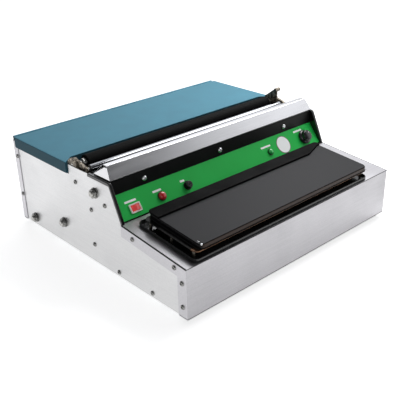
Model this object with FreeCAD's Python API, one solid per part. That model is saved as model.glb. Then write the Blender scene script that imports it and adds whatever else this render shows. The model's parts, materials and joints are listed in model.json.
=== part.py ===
import FreeCAD, Part
import math
import os
from FreeCAD import Matrix, Vector

# Film hand wrapper: a bench-top sheet-metal box that holds a roll of stretch film under a hinged
# lid, leads the film over two rollers to a hot cutter bar, and seals packs on a hot plate in front.
# Millimetres. While it is built, y = 0 is the middle of the box from front to back, -y is the
# operator's side and z = 0 is the underside of the box. Every piece is moved by frame_shift on
# saving, so that the finished origin is at the middle of the whole outline, at bench level.

# ---- driving sizes -------------------------------------------------------------------------
body_width = 485.0            # over the two side plates
body_depth = 462.5            # front face to rear panel
sheet = 1.2                   # folded stainless sheet
front_height = 83.6           # front edge of the shelf
shelf_back_y = -82.3          # where the shelf meets the control panel
shelf_back_height = 98.5
side_slope_top_y = -57.3      # top of the sloping edge of a side plate
side_slope_top_z = 153.9
side_step_y = -1.5            # step up in the side plate behind the cutter deck
side_top_z = 158.5
panel_angle = 52.0            # control panel, degrees above level
panel_length = 46.0           # up the slope
deck_z = 157.0                # top of the cutter deck
deck_back_y = -4.0
cheek_width = 5.5
cheek_top_z = 159.0
cheek_lip = 4.0               # how far a cheek stands out in front of the side plate's edge
cheek_corner_radius = 8.0
flange_width = 20.0           # side flanges of the front housing
rear_flange_width = 14.0
foot_height = 10.0
foot_radius = 13.0
foot_inset_x = 45.0
foot_inset_y = 66.0
stem_radius = 4.0

lid_overhang = 3.0            # beyond each side plate
lid_top_z = 162.0
lid_skirt = 19.5
lid_front_y = 70.5            # front edge between the corners
lid_corner_y = 55.0           # the corners reach further forward
lid_corner_x = 20.5
lid_corner_wrap = 0.55         # share of the corner that the deep skirt wraps round
lid_back_inset = 10.25        # from the rear panel to the lid's back edge
lid_flange_drop = 11.0
hinge_leaf = 1.0
hinge_leaf_width = 15.0
knuckle_radius = 3.2
knuckle_count = 9
pin_radius = 1.5
hinge_end_inset = 2.5         # from the lid's sides to the ends of the hinge

tray_left_inset = 18.5        # hot plate, on the shelf: from the side plates to the tray
tray_right_inset = 56.5
tray_front_u = 3.0            # measured up the shelf from its front edge
tray_back_u = 134.0
tray_sheet = 1.5
tray_rim = 6.0
plate_left_inset = 12.0       # from the tray to the plate
plate_right_inset = 2.0
plate_front_u = 7.0
plate_back_u = 122.0
plate_low_h = 16.0            # measured square to the shelf
plate_thickness = 8.0
cover_thickness = 0.6
plate_corner_radius = 9.0
strip_front_u = 97.0
strip_thickness = 3.4
strip_end_length = 48.0       # right-hand end of the strip, slanting end included
strip_slant = (42.0, 15.0)
ledge_reach = 9.0             # the pan's ledge beyond the left end of the plate
ledge_sheet = 1.5
tub_inset = 8.0
heater_thickness = 3.0
insulation_thickness = 4.0
post_radius = 2.4

bar_side_gap = 3.3            # cutter bar: from its ends to the side plates
bar_nose = 2.0                # how far the bar's foot stands out in front of the deck
bar_low_z = 160.5
bar_ridge_front_y = -43.5
bar_ridge_back_y = -33.5
bar_ridge_z = 180.5
bar_back_y = -12.0
bar_end_slant = 5.0           # the ridge is shorter than the foot by this at each end
cutter_rod_radius = 4.0

rod_radius = 5.0              # cross rods bolted between the side plates
tie_rod_yz = (-17.8, 130.5)
front_axle_yz = (85.3, 41.5)
rear_axle_yz = (185.5, 14.7)
front_film_radius = 14.0
rear_film_radius = 11.0
roller_wall = 2.0
nut_radius = 8.5
nut_length = 5.5
thread_stub = 3.0

bracket_thickness = 3.0
arm_thickness = 5.0
black_roller_yz = (42.0, 158.0)
black_roller_radius = 12.0
black_roller_gap = 16.3       # from the end of its sleeve to the arm
black_shaft_radius = 4.0
white_roller_yz = (14.5, 156.5)
white_roller_radius = 7.0
white_roller_gap = 6.3
white_shaft_radius = 3.0
arm_hub_radius = 12.5
arm_nose_radius = 6.5
bracket_screw_yz = (35.0, 132.6)
tab_thickness = 2.5
tab_reach = (14.0, 25.0)      # tip of the tab, in front of and above the black roller
tab_foot = (14.5, 2.0)
tab_heel = (12.0, 6.0)        # behind and above the black roller

switch_inset = 30.5           # controls: from the panel's end, and distance up the panel
switch_u = 16.0
switch_size = (21.0, 15.0)
rocker_size = (15.5, 10.0)
rocker_travel = 20.0
bezel_height = 2.0
rocker_pivot = -1.0           # height of the rocker's pin above the panel
red_lamp_inset = 85.0
red_lamp_size = (17.5, 8.0)   # distance up the panel, radius
green_lamp_inset = 130.5
green_lamp_size = (19.2, 6.5)
fuse_inset = 140.0
fuse_u = 18.2
fuse_cap_radius = 6.2
disc_inset = 92.0
disc_size = (22.7, 17.0)      # distance up the panel, radius
knob_inset = 33.5
knob_u = 21.5
knob_radius = 14.2
knob_height = 12.5
knob_shaft_radius = 3.0
label_thickness = 0.5

deck_screw_x = (-172.0, -6.0, 160.0)
deck_screw_head = (4.6, 1.0, 2.4)      # radius, straight edge and crown
rocker_pin_radius = 1.2
switch_body_depth = 17.0
lamp_barrel = 20.0
fuse_barrel = 26.0
fuse_bore_radius = 3.6
thermostat_depth = 22.0

transformer_at = (-120.0, -70.0)
core_size = (76.0, 44.0, 64.0)
core_leg = 20.0               # width of the middle leg; the outer legs are half of it
core_yoke = 12.0
core_lug = (12.0, 28.0, 2.5)  # reach beyond the core, width, thickness
terminal_at = (20.0, -90.0)
terminal_ways = 6
terminal_pitch = 12.0
terminal_size = (22.0, 17.0)  # depth and height

partition_y = 4.0
partition_top_z = 128.0
base_flange = 18.0
screw_head_radius = 4.0
screw_head_height = 2.2
screw_radius = 1.9
gland_at = (190.0, 38.0)
gland_radius = 9.0
gland_length = 12.0

# ---- clearances ----------------------------------------------------------------------------
running = 0.05                # shaft in a bush
gap = 0.3                     # neighbours that must not touch
hole_play = 0.2               # screws in their holes

# ---- worked-out sizes ----------------------------------------------------------------------
half_width = body_width / 2.0
half_depth = body_depth / 2.0
front_y = -half_depth
rear_y = half_depth
inner_x = half_width - sheet
outer_x = half_width + sheet
shelf_run = shelf_back_y - front_y
shelf_angle = math.degrees(math.atan2(shelf_back_height - front_height, shelf_run))
panel_half = half_width - cheek_width
switch_x = -panel_half + switch_inset
red_lamp = (-panel_half + red_lamp_inset, *red_lamp_size)
green_lamp = (panel_half - green_lamp_inset, *green_lamp_size)
fuse_at = (-panel_half + fuse_inset, fuse_u)
disc = (panel_half - disc_inset, *disc_size)
knob_at = (panel_half - knob_inset, knob_u)
panel_top_y = shelf_back_y + panel_length * math.cos(math.radians(panel_angle))
panel_top_z = shelf_back_height + panel_length * math.sin(math.radians(panel_angle))
deck_screw_z = 0.5 * (panel_top_z + deck_z) - 1.0
bracket_x = inner_x - bracket_thickness
arm_x = bracket_x - 1.0 - arm_thickness
black_roller_half = arm_x - black_roller_gap
white_roller_half = arm_x - white_roller_gap
lid_half_width = half_width + lid_overhang
lid_back_y = rear_y - lid_back_inset
hinge_half_length = lid_half_width - hinge_end_inset
hinge_y = rear_y - knuckle_radius
hinge_z = lid_top_z - knuckle_radius
tray_left_x = -half_width + tray_left_inset
tray_right_x = half_width - tray_right_inset
plate_left_x = tray_left_x + plate_left_inset
plate_right_x = tray_right_x - plate_right_inset
strip_right_x = plate_right_x - strip_end_length
bar_half_length = inner_x - bar_side_gap
bar_front_y = panel_top_y - bar_nose
frame_shift = Vector(0, -gland_length / 2.0, foot_height)
foot_places = [
    (x * (half_width - foot_inset_x), y * (half_depth - foot_inset_y))
    for x in (-1, 1) for y in (-1, 1)
]


# ---- drawing helpers -----------------------------------------------------------------------
def save(name, *shapes):
    """Write one named piece, moved into the finished frame."""
    solids = [solid for shape in shapes for solid in shape.Solids]
    piece = solids[0] if len(solids) == 1 else Part.makeCompound(solids)
    piece = piece.copy()
    piece.translate(frame_shift)
    piece.exportStep("parts/%s.step" % name)


def block(x0, x1, y0, y1, z0, z1):
    """A box from its two corners, given pair by pair."""
    return Part.makeBox(x1 - x0, y1 - y0, z1 - z0, Vector(x0, y0, z0))


def rod_x(x0, x1, yz, radius):
    """A round bar along x."""
    return Part.makeCylinder(radius, x1 - x0, Vector(x0, yz[0], yz[1]), Vector(1, 0, 0))


def tube_x(x0, x1, yz, outer, inner):
    """A tube along x."""
    return rod_x(x0, x1, yz, outer).cut(rod_x(x0 - 1, x1 + 1, yz, inner))


def slab_x(points, x0, x1):
    """A flat shape drawn in y and z, as thick as x0 to x1."""
    corners = [Vector(x0, y, z) for y, z in points]
    face = Part.Face(Part.makePolygon(corners + corners[:1]))
    return face.extrude(Vector(x1 - x0, 0, 0))


def offset_line(points, distance):
    """Move an open line of points to its left by distance, with mitred corners."""
    moved = []
    for i, point in enumerate(points):
        before = points[max(i - 1, 0)]
        after = points[min(i + 1, len(points) - 1)]
        into = unit(before, point) if i > 0 else unit(point, after)
        out = unit(point, after) if i < len(points) - 1 else into
        normal = (-(into[1] + out[1]), into[0] + out[0])
        scale = distance / (0.5 * (normal[0] ** 2 + normal[1] ** 2))
        moved.append((point[0] + normal[0] * scale, point[1] + normal[1] * scale))
    return moved


def unit(a, b):
    """The direction from a to b, of length one."""
    run = math.hypot(b[0] - a[0], b[1] - a[1])
    return ((b[0] - a[0]) / run, (b[1] - a[1]) / run)


def folded_x(points, thickness, x0, x1):
    """A folded sheet: points are its outer line in y and z, thickness lies to the left."""
    return slab_x(points + offset_line(points, thickness)[::-1], x0, x1)


def rounded_slab(x0, x1, y0, y1, z0, z1, radius):
    """A plate with its four upright edges rounded."""
    plate = block(x0, x1, y0, y1, z0, z1)
    upright = [e for e in plate.Edges if abs(e.tangentAt(e.FirstParameter).z) > 0.9]
    return plate.makeFillet(radius, upright)


def domed_button(radius, edge, crown):
    """A round button on z = 0: a straight edge topped by a shallow dome of height crown."""
    ball = (radius ** 2 + crown ** 2) / (2.0 * crown)
    centre = edge + crown - ball
    half = 0.5 * math.asin(radius / ball)
    middle = Vector(ball * math.sin(half), 0, centre + ball * math.cos(half))
    rim = Vector(radius, 0, edge)
    tip = Vector(0, 0, edge + crown)
    dome = Part.Arc(rim, middle, tip).toShape()
    sides = Part.makePolygon([tip, Vector(0, 0, 0), Vector(radius, 0, 0), rim])
    face = Part.Face(Part.Wire(sides.Edges + [dome]))
    return face.revolve(Vector(0, 0, 0), Vector(0, 0, 1), 360)


def mirrored(shape):
    """The same piece for the other side."""
    return shape.mirror(Vector(0, 0, 0), Vector(1, 0, 0))


def tilted(shape, angle, base_y, base_z):
    """Turn a piece drawn on a level plane about x, and put it at base_y and base_z."""
    turn = Matrix()
    turn.rotateX(math.radians(angle))
    turned = shape.transformGeometry(turn)
    turned.translate(Vector(0, base_y, base_z))
    return turned


def on_shelf(shape):
    """Place a piece drawn with y up the shelf from its front edge and z square to it."""
    return tilted(shape, shelf_angle, front_y, front_height)


def on_panel(shape):
    """Place a piece drawn with y up the control panel and z square to it."""
    return tilted(shape, panel_angle, shelf_back_y, shelf_back_height)


def shelf_z(y):
    """Height of the shelf's top face at y."""
    return front_height + (y - front_y) * math.tan(math.radians(shelf_angle))


# ---- screws in the sides -------------------------------------------------------------------
def plate_screws():
    """Places in y and z of the screws that stand on the side plates themselves."""
    flange_mid_y = partition_y - 0.5 * base_flange + sheet
    return [
        bracket_screw_yz,
        (flange_mid_y, 96.3),
        (flange_mid_y, 33.3),
        (-43.0, 116.7),
        (-67.5, 8.0),
        (-150.9, 8.0),
    ]


def strip_screws():
    """Places in y and z of the screws that stand on the folded strips outside the plates."""
    inset = 0.5 * flange_width
    rear = rear_y - 0.7 * rear_flange_width
    return [
        (-110.6, shelf_z(-110.6) - inset - 1.0),
        (-205.7, shelf_z(-205.7) - inset + 1.0),
        (front_y + inset, 57.6),
        (front_y + inset, 17.9),
        (rear, 125.2),
        (rear, 51.0),
    ]


def screw_cutters(places, x0, x1):
    """Round bars that cut clearance holes for screws through a sheet."""
    return Part.makeCompound([rod_x(x0, x1, place, screw_radius + hole_play) for place in places])


def side_screw(place, seat_x):
    """A cross-recessed pan-head screw whose head sits on the face at seat_x."""
    y, z = place
    head = rod_x(seat_x, seat_x + screw_head_height, place, screw_head_radius)
    edge = [e for e in head.Edges if e.Closed and e.BoundBox.XMin > seat_x + 0.5 * screw_head_height]
    head = head.makeFillet(0.7 * screw_head_height, edge)
    recess_x = seat_x + 0.45 * screw_head_height
    arm = 0.55 * screw_head_radius
    slot = 0.13 * screw_head_radius
    cross = block(recess_x, seat_x + 9, y - arm, y + arm, z - slot, z + slot)
    cross = cross.fuse(block(recess_x, seat_x + 9, y - slot, y + slot, z - arm, z + arm))
    shank = rod_x(inner_x - 5.0, seat_x, place, screw_radius)
    return head.cut(cross).fuse(shank).removeSplitter()


# ---- box -----------------------------------------------------------------------------------
def side_plate():
    """Right side plate: a flat sheet cut to the outline of the machine."""
    under_shelf = sheet + 0.1
    hinge_low = hinge_z - knuckle_radius - 2.0
    notch = (lid_corner_y - 2.0, lid_corner_y + 7.0, lid_top_z - lid_skirt - 1.0)
    front = front_y + sheet + gap
    rear = rear_y - sheet - gap
    outline = [
        (front, 0.0),
        (rear, 0.0),
        (rear, hinge_low),
        (lid_back_y - 2.0, hinge_low),
        (lid_back_y - 2.0, side_top_z),
        (notch[1], side_top_z),
        (notch[1], notch[2]),
        (notch[0], notch[2]),
        (notch[0], side_top_z),
        (side_step_y, side_top_z),
        (side_step_y, side_slope_top_z),
        (side_slope_top_y, side_slope_top_z),
        (shelf_back_y, shelf_back_height - under_shelf),
        (front, shelf_z(front) - under_shelf),
    ]
    plate = slab_x(outline, inner_x, half_width)
    for axle in (tie_rod_yz, front_axle_yz, rear_axle_yz):
        plate = plate.cut(rod_x(inner_x - 1, half_width + 1, axle, rod_radius + hole_play))
    return plate.cut(screw_cutters(plate_screws() + strip_screws(), inner_x - 1, half_width + 1))


def front_housing():
    """Front face and sloping shelf in one folded sheet, with flanges round both side plates."""
    line = [
        (front_y + 15.0, 0.0),
        (front_y, 0.0),
        (front_y, front_height),
        (shelf_back_y, shelf_back_height),
    ]
    shell = folded_x(line[::-1], sheet, -outer_x, outer_x)
    inset_y = front_y + flange_width
    inset_z = shelf_z(inset_y) - flange_width
    strip = [
        (front_y, 0.0),
        (inset_y, 0.0),
        (inset_y, inset_z),
        (shelf_back_y, shelf_back_height - flange_width),
        (shelf_back_y, shelf_back_height),
        (front_y, front_height),
    ]
    flange = slab_x(strip, half_width, outer_x)
    lip_clear = block(inner_x - gap, half_width, front_y + sheet, front_y + 16.0, -1.0, sheet + gap)
    flange = flange.cut(screw_cutters(strip_screws(), half_width - 1, outer_x + 1))
    body = shell.cut(lip_clear).cut(mirrored(lip_clear)).fuse([flange, mirrored(flange)])
    body = body.removeSplitter()
    lead_hole = Part.makeCylinder(7.0, 12.0, Vector(0, 70.0, -6.0))
    return body.cut(on_shelf(lead_hole))


def rear_panel():
    """Rear panel, with flanges round both side plates."""
    top_z = hinge_z - knuckle_radius - 1.0
    wall = block(-outer_x, outer_x, rear_y - sheet, rear_y, 0.0, top_z)
    flange = block(half_width, outer_x, rear_y - rear_flange_width, rear_y, 0.0, top_z)
    flange = flange.cut(screw_cutters(strip_screws(), half_width - 1, outer_x + 1))
    panel = wall.fuse([flange, mirrored(flange)]).removeSplitter()
    start = Vector(gland_at[0], rear_y - sheet - 1, gland_at[1])
    hole = Part.makeCylinder(gland_radius - 2.0, sheet + 2, start, Vector(0, 1, 0))
    return panel.cut(hole)


def base_pan():
    """Floor of the box, with flanges turned up inside the side plates."""
    y0 = front_y + 16.0
    y1 = rear_y - sheet - gap
    inside = inner_x - 0.1
    floor = block(-inside, inside, y0, y1, 0.0, sheet)
    flange = block(inside - sheet, inside, y0, y1, 0.0, base_flange)
    for axle in (front_axle_yz, rear_axle_yz):
        flange = flange.cut(rod_x(inside - 3, inside + 1, axle, nut_radius))
    places = [place for place in plate_screws() if place[1] < base_flange]
    flange = flange.cut(screw_cutters(places, inside - 3, inside + 1))
    floor = floor.fuse([flange, mirrored(flange)])
    for x, y in foot_places:
        floor = floor.cut(Part.makeCylinder(stem_radius, 9.0, Vector(x, y, -4.0)))
    return floor


def partition():
    """Bulkhead between the electrical space in front and the film bay behind."""
    inside = inner_x - 0.1
    wall = block(-inside, inside, partition_y, partition_y + sheet, sheet + 0.1, partition_top_z)
    corner = block(inside - sheet - gap, inside + 1, partition_y - 1, partition_y + 9, 0.0,
                   base_flange + gap)
    wall = wall.cut([corner, mirrored(corner)])
    depth = base_flange
    front = partition_y - depth + sheet
    flange = block(inside - sheet, inside, front, partition_y, base_flange + 2.0, partition_top_z)
    flange = flange.cut(screw_cutters(plate_screws(), inside - 3, inside + 1))
    return wall.fuse([flange, mirrored(flange)]).removeSplitter()


# ---- control panel and its controls --------------------------------------------------------
def cheek():
    """Right end cheek: a moulded cap over the sloping and top edges of the side plate."""
    slope = unit((shelf_back_y, shelf_back_height), (side_slope_top_y, side_slope_top_z))
    foot = (shelf_back_y - cheek_lip, shelf_z(shelf_back_y - cheek_lip) + 0.1)
    heel = (shelf_back_y, shelf_back_height + 0.1)
    rise = cheek_top_z - foot[1]
    corner = (foot[0] + rise * slope[0] / slope[1], cheek_top_z)
    rear = side_step_y - gap
    cap = [heel, foot, corner, (rear, cheek_top_z)]
    edge = [
        (rear, side_slope_top_z + 0.1),
        (side_slope_top_y - 0.1, side_slope_top_z + 0.1),
        (shelf_back_y - 0.1 + 0.1 * slope[0], shelf_back_height + 0.1),
    ]
    over = slab_x(cap[1:] + edge, inner_x - 0.1, half_width)
    depth = 9.0
    back = [
        (rear, cheek_top_z - depth),
        (side_slope_top_y + depth, cheek_top_z - depth),
        (shelf_back_y + depth, shelf_back_height - 4.0),
        (shelf_back_y + 0.1, shelf_back_height - 4.0),
        (shelf_back_y + 0.1, heel[1]),
    ]
    inside = slab_x(cap[1:] + back, panel_half, inner_x - 0.1)
    body = over.fuse(inside).removeSplitter()
    nose = [
        e for e in body.Edges
        if abs(e.CenterOfMass.y - corner[0]) < 0.2 and abs(e.CenterOfMass.z - cheek_top_z) < 0.2
        and e.Length < cheek_width + 0.1
    ]
    return body.makeFillet(cheek_corner_radius, nose)


def control_panel():
    """Folded sheet: sloping face for the controls, upright band, and the cutter deck."""
    line = [
        (panel_top_y, deck_z),
        (panel_top_y, panel_top_z),
        (shelf_back_y + 0.6, shelf_back_height + 0.6 * math.tan(math.radians(panel_angle))),
        (shelf_back_y + 0.6, shelf_back_height - 16.0),
    ]
    line = [(deck_back_y, deck_z - 10.0), (deck_back_y, deck_z)] + line
    width = panel_half - 0.1
    panel = folded_x(line, sheet, -width, width)
    holes = [
        block(-0.5 * rocker_size[0] - 1.6, 0.5 * rocker_size[0] + 1.6,
              -0.5 * rocker_size[1] - 1.3, 0.5 * rocker_size[1] + 1.3, -9, 9)
    ]
    holes[0].translate(Vector(switch_x, switch_u, 0))
    for x, u, radius in (
        (red_lamp[0], red_lamp[1], red_lamp[2] - 2.0),
        (green_lamp[0], green_lamp[1], green_lamp[2] - 2.0),
        (fuse_at[0], fuse_at[1], fuse_cap_radius - 1.0),
        (knob_at[0], knob_at[1], knob_shaft_radius + 1.0),
    ):
        holes.append(Part.makeCylinder(radius + 0.1, 18, Vector(x, u, -9)))
    cutter = on_panel(Part.makeCompound(holes))
    for x in deck_screw_x:
        start = Vector(x, panel_top_y - 4, deck_screw_z)
        panel = panel.cut(Part.makeCylinder(screw_radius + hole_play, 8, start, Vector(0, 1, 0)))
    return panel.cut(cutter), cutter


def panel_label(holes):
    """Thin coloured plate glued on the sloping face."""
    width = panel_half - gap
    plate = block(-width, width, 2.0, panel_length - 1.0, 0.0, label_thickness)
    return on_panel(plate).cut(holes)


def deck_screws():
    """Three domed screws along the upright band."""
    screws = []
    for x in deck_screw_x:
        face = Vector(x, panel_top_y, deck_screw_z)
        head = domed_button(*deck_screw_head)
        head.rotate(Vector(0, 0, 0), Vector(1, 0, 0), 90)
        head.translate(face)
        shank = Part.makeCylinder(screw_radius, 9.0, face, Vector(0, 1, 0))
        screws.append(head.fuse(shank).removeSplitter())
    return screws


def switch_housing():
    """White flanged housing of the rocker switch, with the rocker's pin and three tags."""
    w, d = switch_size
    rw, rd = rocker_size
    top = label_thickness + bezel_height
    bezel = rounded_slab(-w / 2, w / 2, -d / 2, d / 2, label_thickness, top, 1.5)
    body = block(-rw / 2 - 1.5, rw / 2 + 1.5, -rd / 2 - 1.2, rd / 2 + 1.2,
                 -switch_body_depth, label_thickness)
    tag_low = -switch_body_depth - 7.0
    tags = [block(x - 0.4, x + 0.4, -2.4, 2.4, tag_low, -switch_body_depth) for x in (-5, 0, 5)]
    well = block(-rw / 2 - gap, rw / 2 + gap, -rd / 2 - gap, rd / 2 + gap, -12.0, top + 1)
    housing = bezel.fuse([body] + tags).removeSplitter().cut(well)
    pin = Part.makeCylinder(rocker_pin_radius, rd + 2.0, Vector(0, -rd / 2 - 1.0, rocker_pivot),
                            Vector(0, 1, 0))
    housing = housing.fuse(pin).removeSplitter()
    housing.translate(Vector(switch_x, switch_u, 0))
    return on_panel(housing)


def switch_rocker():
    """Red rocker with two tilted faces, drawn level and then tipped to its rest position."""
    rw, rd = rocker_size
    tip = math.radians(rocker_travel / 2.0)
    face = label_thickness + bezel_height + 1.2
    outline = [
        (-rw / 2, rocker_pivot - 2.0),
        (0.0, rocker_pivot - 4.0),
        (rw / 2, rocker_pivot - 2.0),
        (rw / 2, face),
        (0.0, face - 0.5 * rw * math.tan(tip)),
        (-rw / 2, face),
    ]
    corners = [Vector(x, -rd / 2, z) for x, z in outline]
    body = Part.Face(Part.makePolygon(corners + corners[:1])).extrude(Vector(0, rd, 0))
    start = Vector(0, -rd / 2 - 1, rocker_pivot)
    sweep = Part.makeCylinder(rw / 2 - running, rd + 2, start, Vector(0, 1, 0))
    bore = Part.makeCylinder(rocker_pin_radius + running, rd + 2, start, Vector(0, 1, 0))
    body = body.common(sweep).cut(bore)
    turn = Matrix()
    turn.move(Vector(0, 0, -rocker_pivot))
    turn.rotateY(-tip)
    turn.move(Vector(0, 0, rocker_pivot))
    body = body.transformGeometry(turn)
    body.translate(Vector(switch_x, switch_u, 0))
    return on_panel(body)


def pilot_lamp(place):
    """Pilot lamp: a bezel with a threaded barrel and nut behind, and a domed lens in it."""
    x, u, radius = place
    base = label_thickness
    lens_radius = radius - 1.2
    seat_z = base + 0.6
    bezel = Part.makeCylinder(radius, 1.6, Vector(x, u, base))
    barrel = Part.makeCylinder(radius - 2.0, lamp_barrel + base, Vector(x, u, -lamp_barrel))
    nut = Part.makeCylinder(radius + 1.0, 3.0, Vector(x, u, -sheet - 3.1))
    holder = bezel.fuse([barrel, nut]).removeSplitter()
    holder = holder.cut(Part.makeCylinder(lens_radius, 4.0, Vector(x, u, seat_z)))
    lens = domed_button(lens_radius, 1.6, 0.42 * radius)
    lens.translate(Vector(x, u, seat_z))
    return on_panel(holder), on_panel(lens)


def fuse_parts():
    """Panel fuse holder: barrel and nut behind the panel, and a slotted screw-in cap."""
    x, u = fuse_at
    base = label_thickness
    flange = Part.makeCylinder(fuse_cap_radius + 1.6, 1.8, Vector(x, u, base))
    barrel = Part.makeCylinder(fuse_cap_radius - 1.0, fuse_barrel, Vector(x, u, base - fuse_barrel))
    nut = Part.makeCylinder(fuse_cap_radius + 1.5, 3.0, Vector(x, u, -sheet - 3.1))
    bore = Part.makeCylinder(fuse_bore_radius, fuse_barrel, Vector(x, u, base - fuse_barrel + 2.0))
    mouth = Part.makeCylinder(fuse_cap_radius + 0.2, 2.0, Vector(x, u, base + 0.8))
    holder = flange.fuse([barrel, nut]).cut(bore.fuse(mouth)).removeSplitter()
    head = Part.makeCylinder(fuse_cap_radius, 7.0, Vector(x, u, base + 0.8 + running))
    rim = [e for e in head.Edges if e.Closed and e.BoundBox.ZMin > base + 5]
    head = head.makeFillet(1.0, rim)
    spigot = Part.makeCylinder(fuse_bore_radius - running, 5.0, Vector(x, u, base - 3.5))
    slot = block(x - 9, x + 9, u - 0.7, u + 0.7, base + 6.2, base + 9)
    cap = head.fuse(spigot).cut(slot).removeSplitter()
    return on_panel(holder), on_panel(cap)


def knob_parts():
    """Temperature knob with its spindle, and the thermostat behind the panel."""
    x, u = knob_at
    base = label_thickness + 1.0
    skirt = Part.makeCone(knob_radius, knob_radius - 1.5, 5.0, Vector(x, u, base))
    grip = Part.makeCone(knob_radius - 4.0, knob_radius - 5.0, knob_height - 5.0,
                         Vector(x, u, base + 5.0))
    rim = [e for e in grip.Edges if e.Closed and e.BoundBox.ZMin > base + knob_height - 1]
    grip = grip.makeFillet(1.2, rim)
    flutes = []
    for i in range(12):
        a = math.radians(30.0 * i + 15.0)
        centre = Vector(x + knob_radius * math.cos(a) * 0.83, u + knob_radius * math.sin(a) * 0.83,
                        base + 6.5)
        flutes.append(Part.makeCylinder(1.6, knob_height, centre))
    knob = skirt.fuse(grip).cut(Part.makeCompound(flutes)).removeSplitter()
    spindle = Part.makeCylinder(knob_shaft_radius, 12.0 + base + knob_height - 2.5, Vector(x, u, -12.0))
    knob = knob.cut(spindle)
    low = -sheet - 4.0
    body = block(x - 20, x + 20, u - 16, u + 20, low - thermostat_depth, low)
    bush = Part.makeCylinder(knob_shaft_radius + 2.5, 4.9, Vector(x, u, low - 1.0))
    bore = Part.makeCylinder(knob_shaft_radius + running, 20.0, Vector(x, u, -12.5))
    thermostat = body.fuse(bush).cut(bore).removeSplitter()
    return on_panel(knob), on_panel(spindle), on_panel(thermostat)


# ---- hot plate -----------------------------------------------------------------------------
def hot_tray():
    """Shallow pressed tray screwed to the shelf under the hot plate."""
    outer = rounded_slab(tray_left_x, tray_right_x, tray_front_u, tray_back_u, 0.05, tray_rim,
                         plate_corner_radius)
    inner = rounded_slab(tray_left_x + tray_sheet, tray_right_x - tray_sheet,
                         tray_front_u + tray_sheet, tray_back_u - tray_sheet,
                         tray_sheet, tray_rim + 1, plate_corner_radius - tray_sheet)
    return on_shelf(outer.cut(inner))


def post_places():
    """Centres of the stand-off posts, near the two ends of the tray."""
    left = plate_left_x - 0.5 * ledge_reach
    right = tray_right_x - tray_sheet - post_radius - 1.5
    return [(x, u) for x in (left, right) for u in (tray_front_u + 12.0, 62.0, tray_back_u - 24.0)]


def hot_posts():
    """Stand-off posts that carry the plate clear of the tray."""
    length = plate_low_h - ledge_sheet - tray_sheet
    return [
        on_shelf(Part.makeCylinder(post_radius, length, Vector(x, u, tray_sheet)))
        for x, u in post_places()
    ]


def plate_slab(margin, low, high):
    """The heated plate's outline in plan, grown by margin, from low to high."""
    return rounded_slab(plate_left_x - margin, plate_right_x + margin, plate_front_u - margin,
                        plate_back_u + margin, low, high, plate_corner_radius + margin)


def rear_strip():
    """Black clamping strip along the rear of the plate, with a slanting right-hand end."""
    top = plate_low_h + plate_thickness + cover_thickness
    plan = [
        (plate_left_x - 2.0, strip_front_u),
        (strip_right_x, strip_front_u),
        (strip_right_x + strip_slant[0], strip_front_u + strip_slant[1]),
        (plate_right_x, strip_front_u + strip_slant[1]),
        (plate_right_x, plate_back_u + 1.0),
        (plate_left_x - 2.0, plate_back_u + 1.0),
    ]
    corners = [Vector(x, u, top) for x, u in plan]
    strip = Part.Face(Part.makePolygon(corners + corners[:1])).extrude(Vector(0, 0, strip_thickness))
    back = [
        e for e in strip.Edges
        if abs(e.tangentAt(e.FirstParameter).z) > 0.9 and e.CenterOfMass.y > plate_back_u
    ]
    return on_shelf(strip.makeFillet(plate_corner_radius - 1.0, back))


def heating_parts():
    """Heated plate, its cover sheet, the pan below it, the flat heater and its insulation board."""
    low = plate_low_h
    top = low + plate_thickness
    plate = plate_slab(0.0, low, top)
    cover = plate_slab(cover_thickness, low, top + cover_thickness).cut(plate)
    ledge_low = low - ledge_sheet
    tub_low = ledge_low - heater_thickness - insulation_thickness
    ledge = rounded_slab(plate_left_x - ledge_reach, plate_right_x, plate_front_u - 1.0,
                         plate_back_u + 1.0, ledge_low, low, plate_corner_radius)
    x0, x1 = plate_left_x + tub_inset, plate_right_x - tub_inset
    u0, u1 = plate_front_u + tub_inset, plate_back_u - tub_inset
    tub = block(x0, x1, u0, u1, tub_low, low)
    well = block(x0 + 1, x1 - 1, u0 + 1, u1 - 1, tub_low + 1, low + 1)
    pan = ledge.fuse(tub).cut(well).removeSplitter()
    heater = block(x0 + 6, x1 - 6, u0 + 6, u1 - 6, low - heater_thickness, low)
    board = block(x0 + 1.2, x1 - 1.2, u0 + 1.2, u1 - 1.2, tub_low + 1.0, low - heater_thickness)
    return [on_shelf(shape) for shape in (plate, cover, pan, heater, board)]


# ---- cutter --------------------------------------------------------------------------------
def cutter_bar():
    """Folded stainless bar of triangular section with closed, slanting ends, hot at its ridge."""
    line = [
        (bar_back_y, bar_low_z),
        (bar_ridge_back_y, bar_ridge_z),
        (bar_ridge_front_y, bar_ridge_z),
        (bar_front_y, bar_low_z),
    ]
    solid = slab_x(line, -bar_half_length, bar_half_length)
    hollow = slab_x(offset_line(line, sheet), -bar_half_length, bar_half_length)
    inside = bar_half_length - sheet - 3.0
    below = block(-inside, inside, bar_front_y - 9, bar_back_y + 9, bar_low_z - 9, bar_low_z)
    bar = solid.cut(hollow.common(block(-inside, inside, -900, 900, 0, 900))).cut(below)
    low = [(-bar_half_length, bar_low_z - 1), (bar_half_length, bar_low_z - 1)]
    high = [(bar_half_length - bar_end_slant, bar_ridge_z + 1),
            (-bar_half_length + bar_end_slant, bar_ridge_z + 1)]
    corners = [Vector(x, bar_front_y - 9, z) for x, z in low + high]
    ends = Part.Face(Part.makePolygon(corners + corners[:1])).extrude(Vector(0, 99, 0))
    return bar.common(ends).removeSplitter()


def cutter_strip():
    """Insulating strip between the hot bar and the deck."""
    reach = panel_half - 4.0
    return block(-reach, reach, bar_front_y + 3.0, bar_back_y - 3.0, deck_z, bar_low_z)


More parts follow.
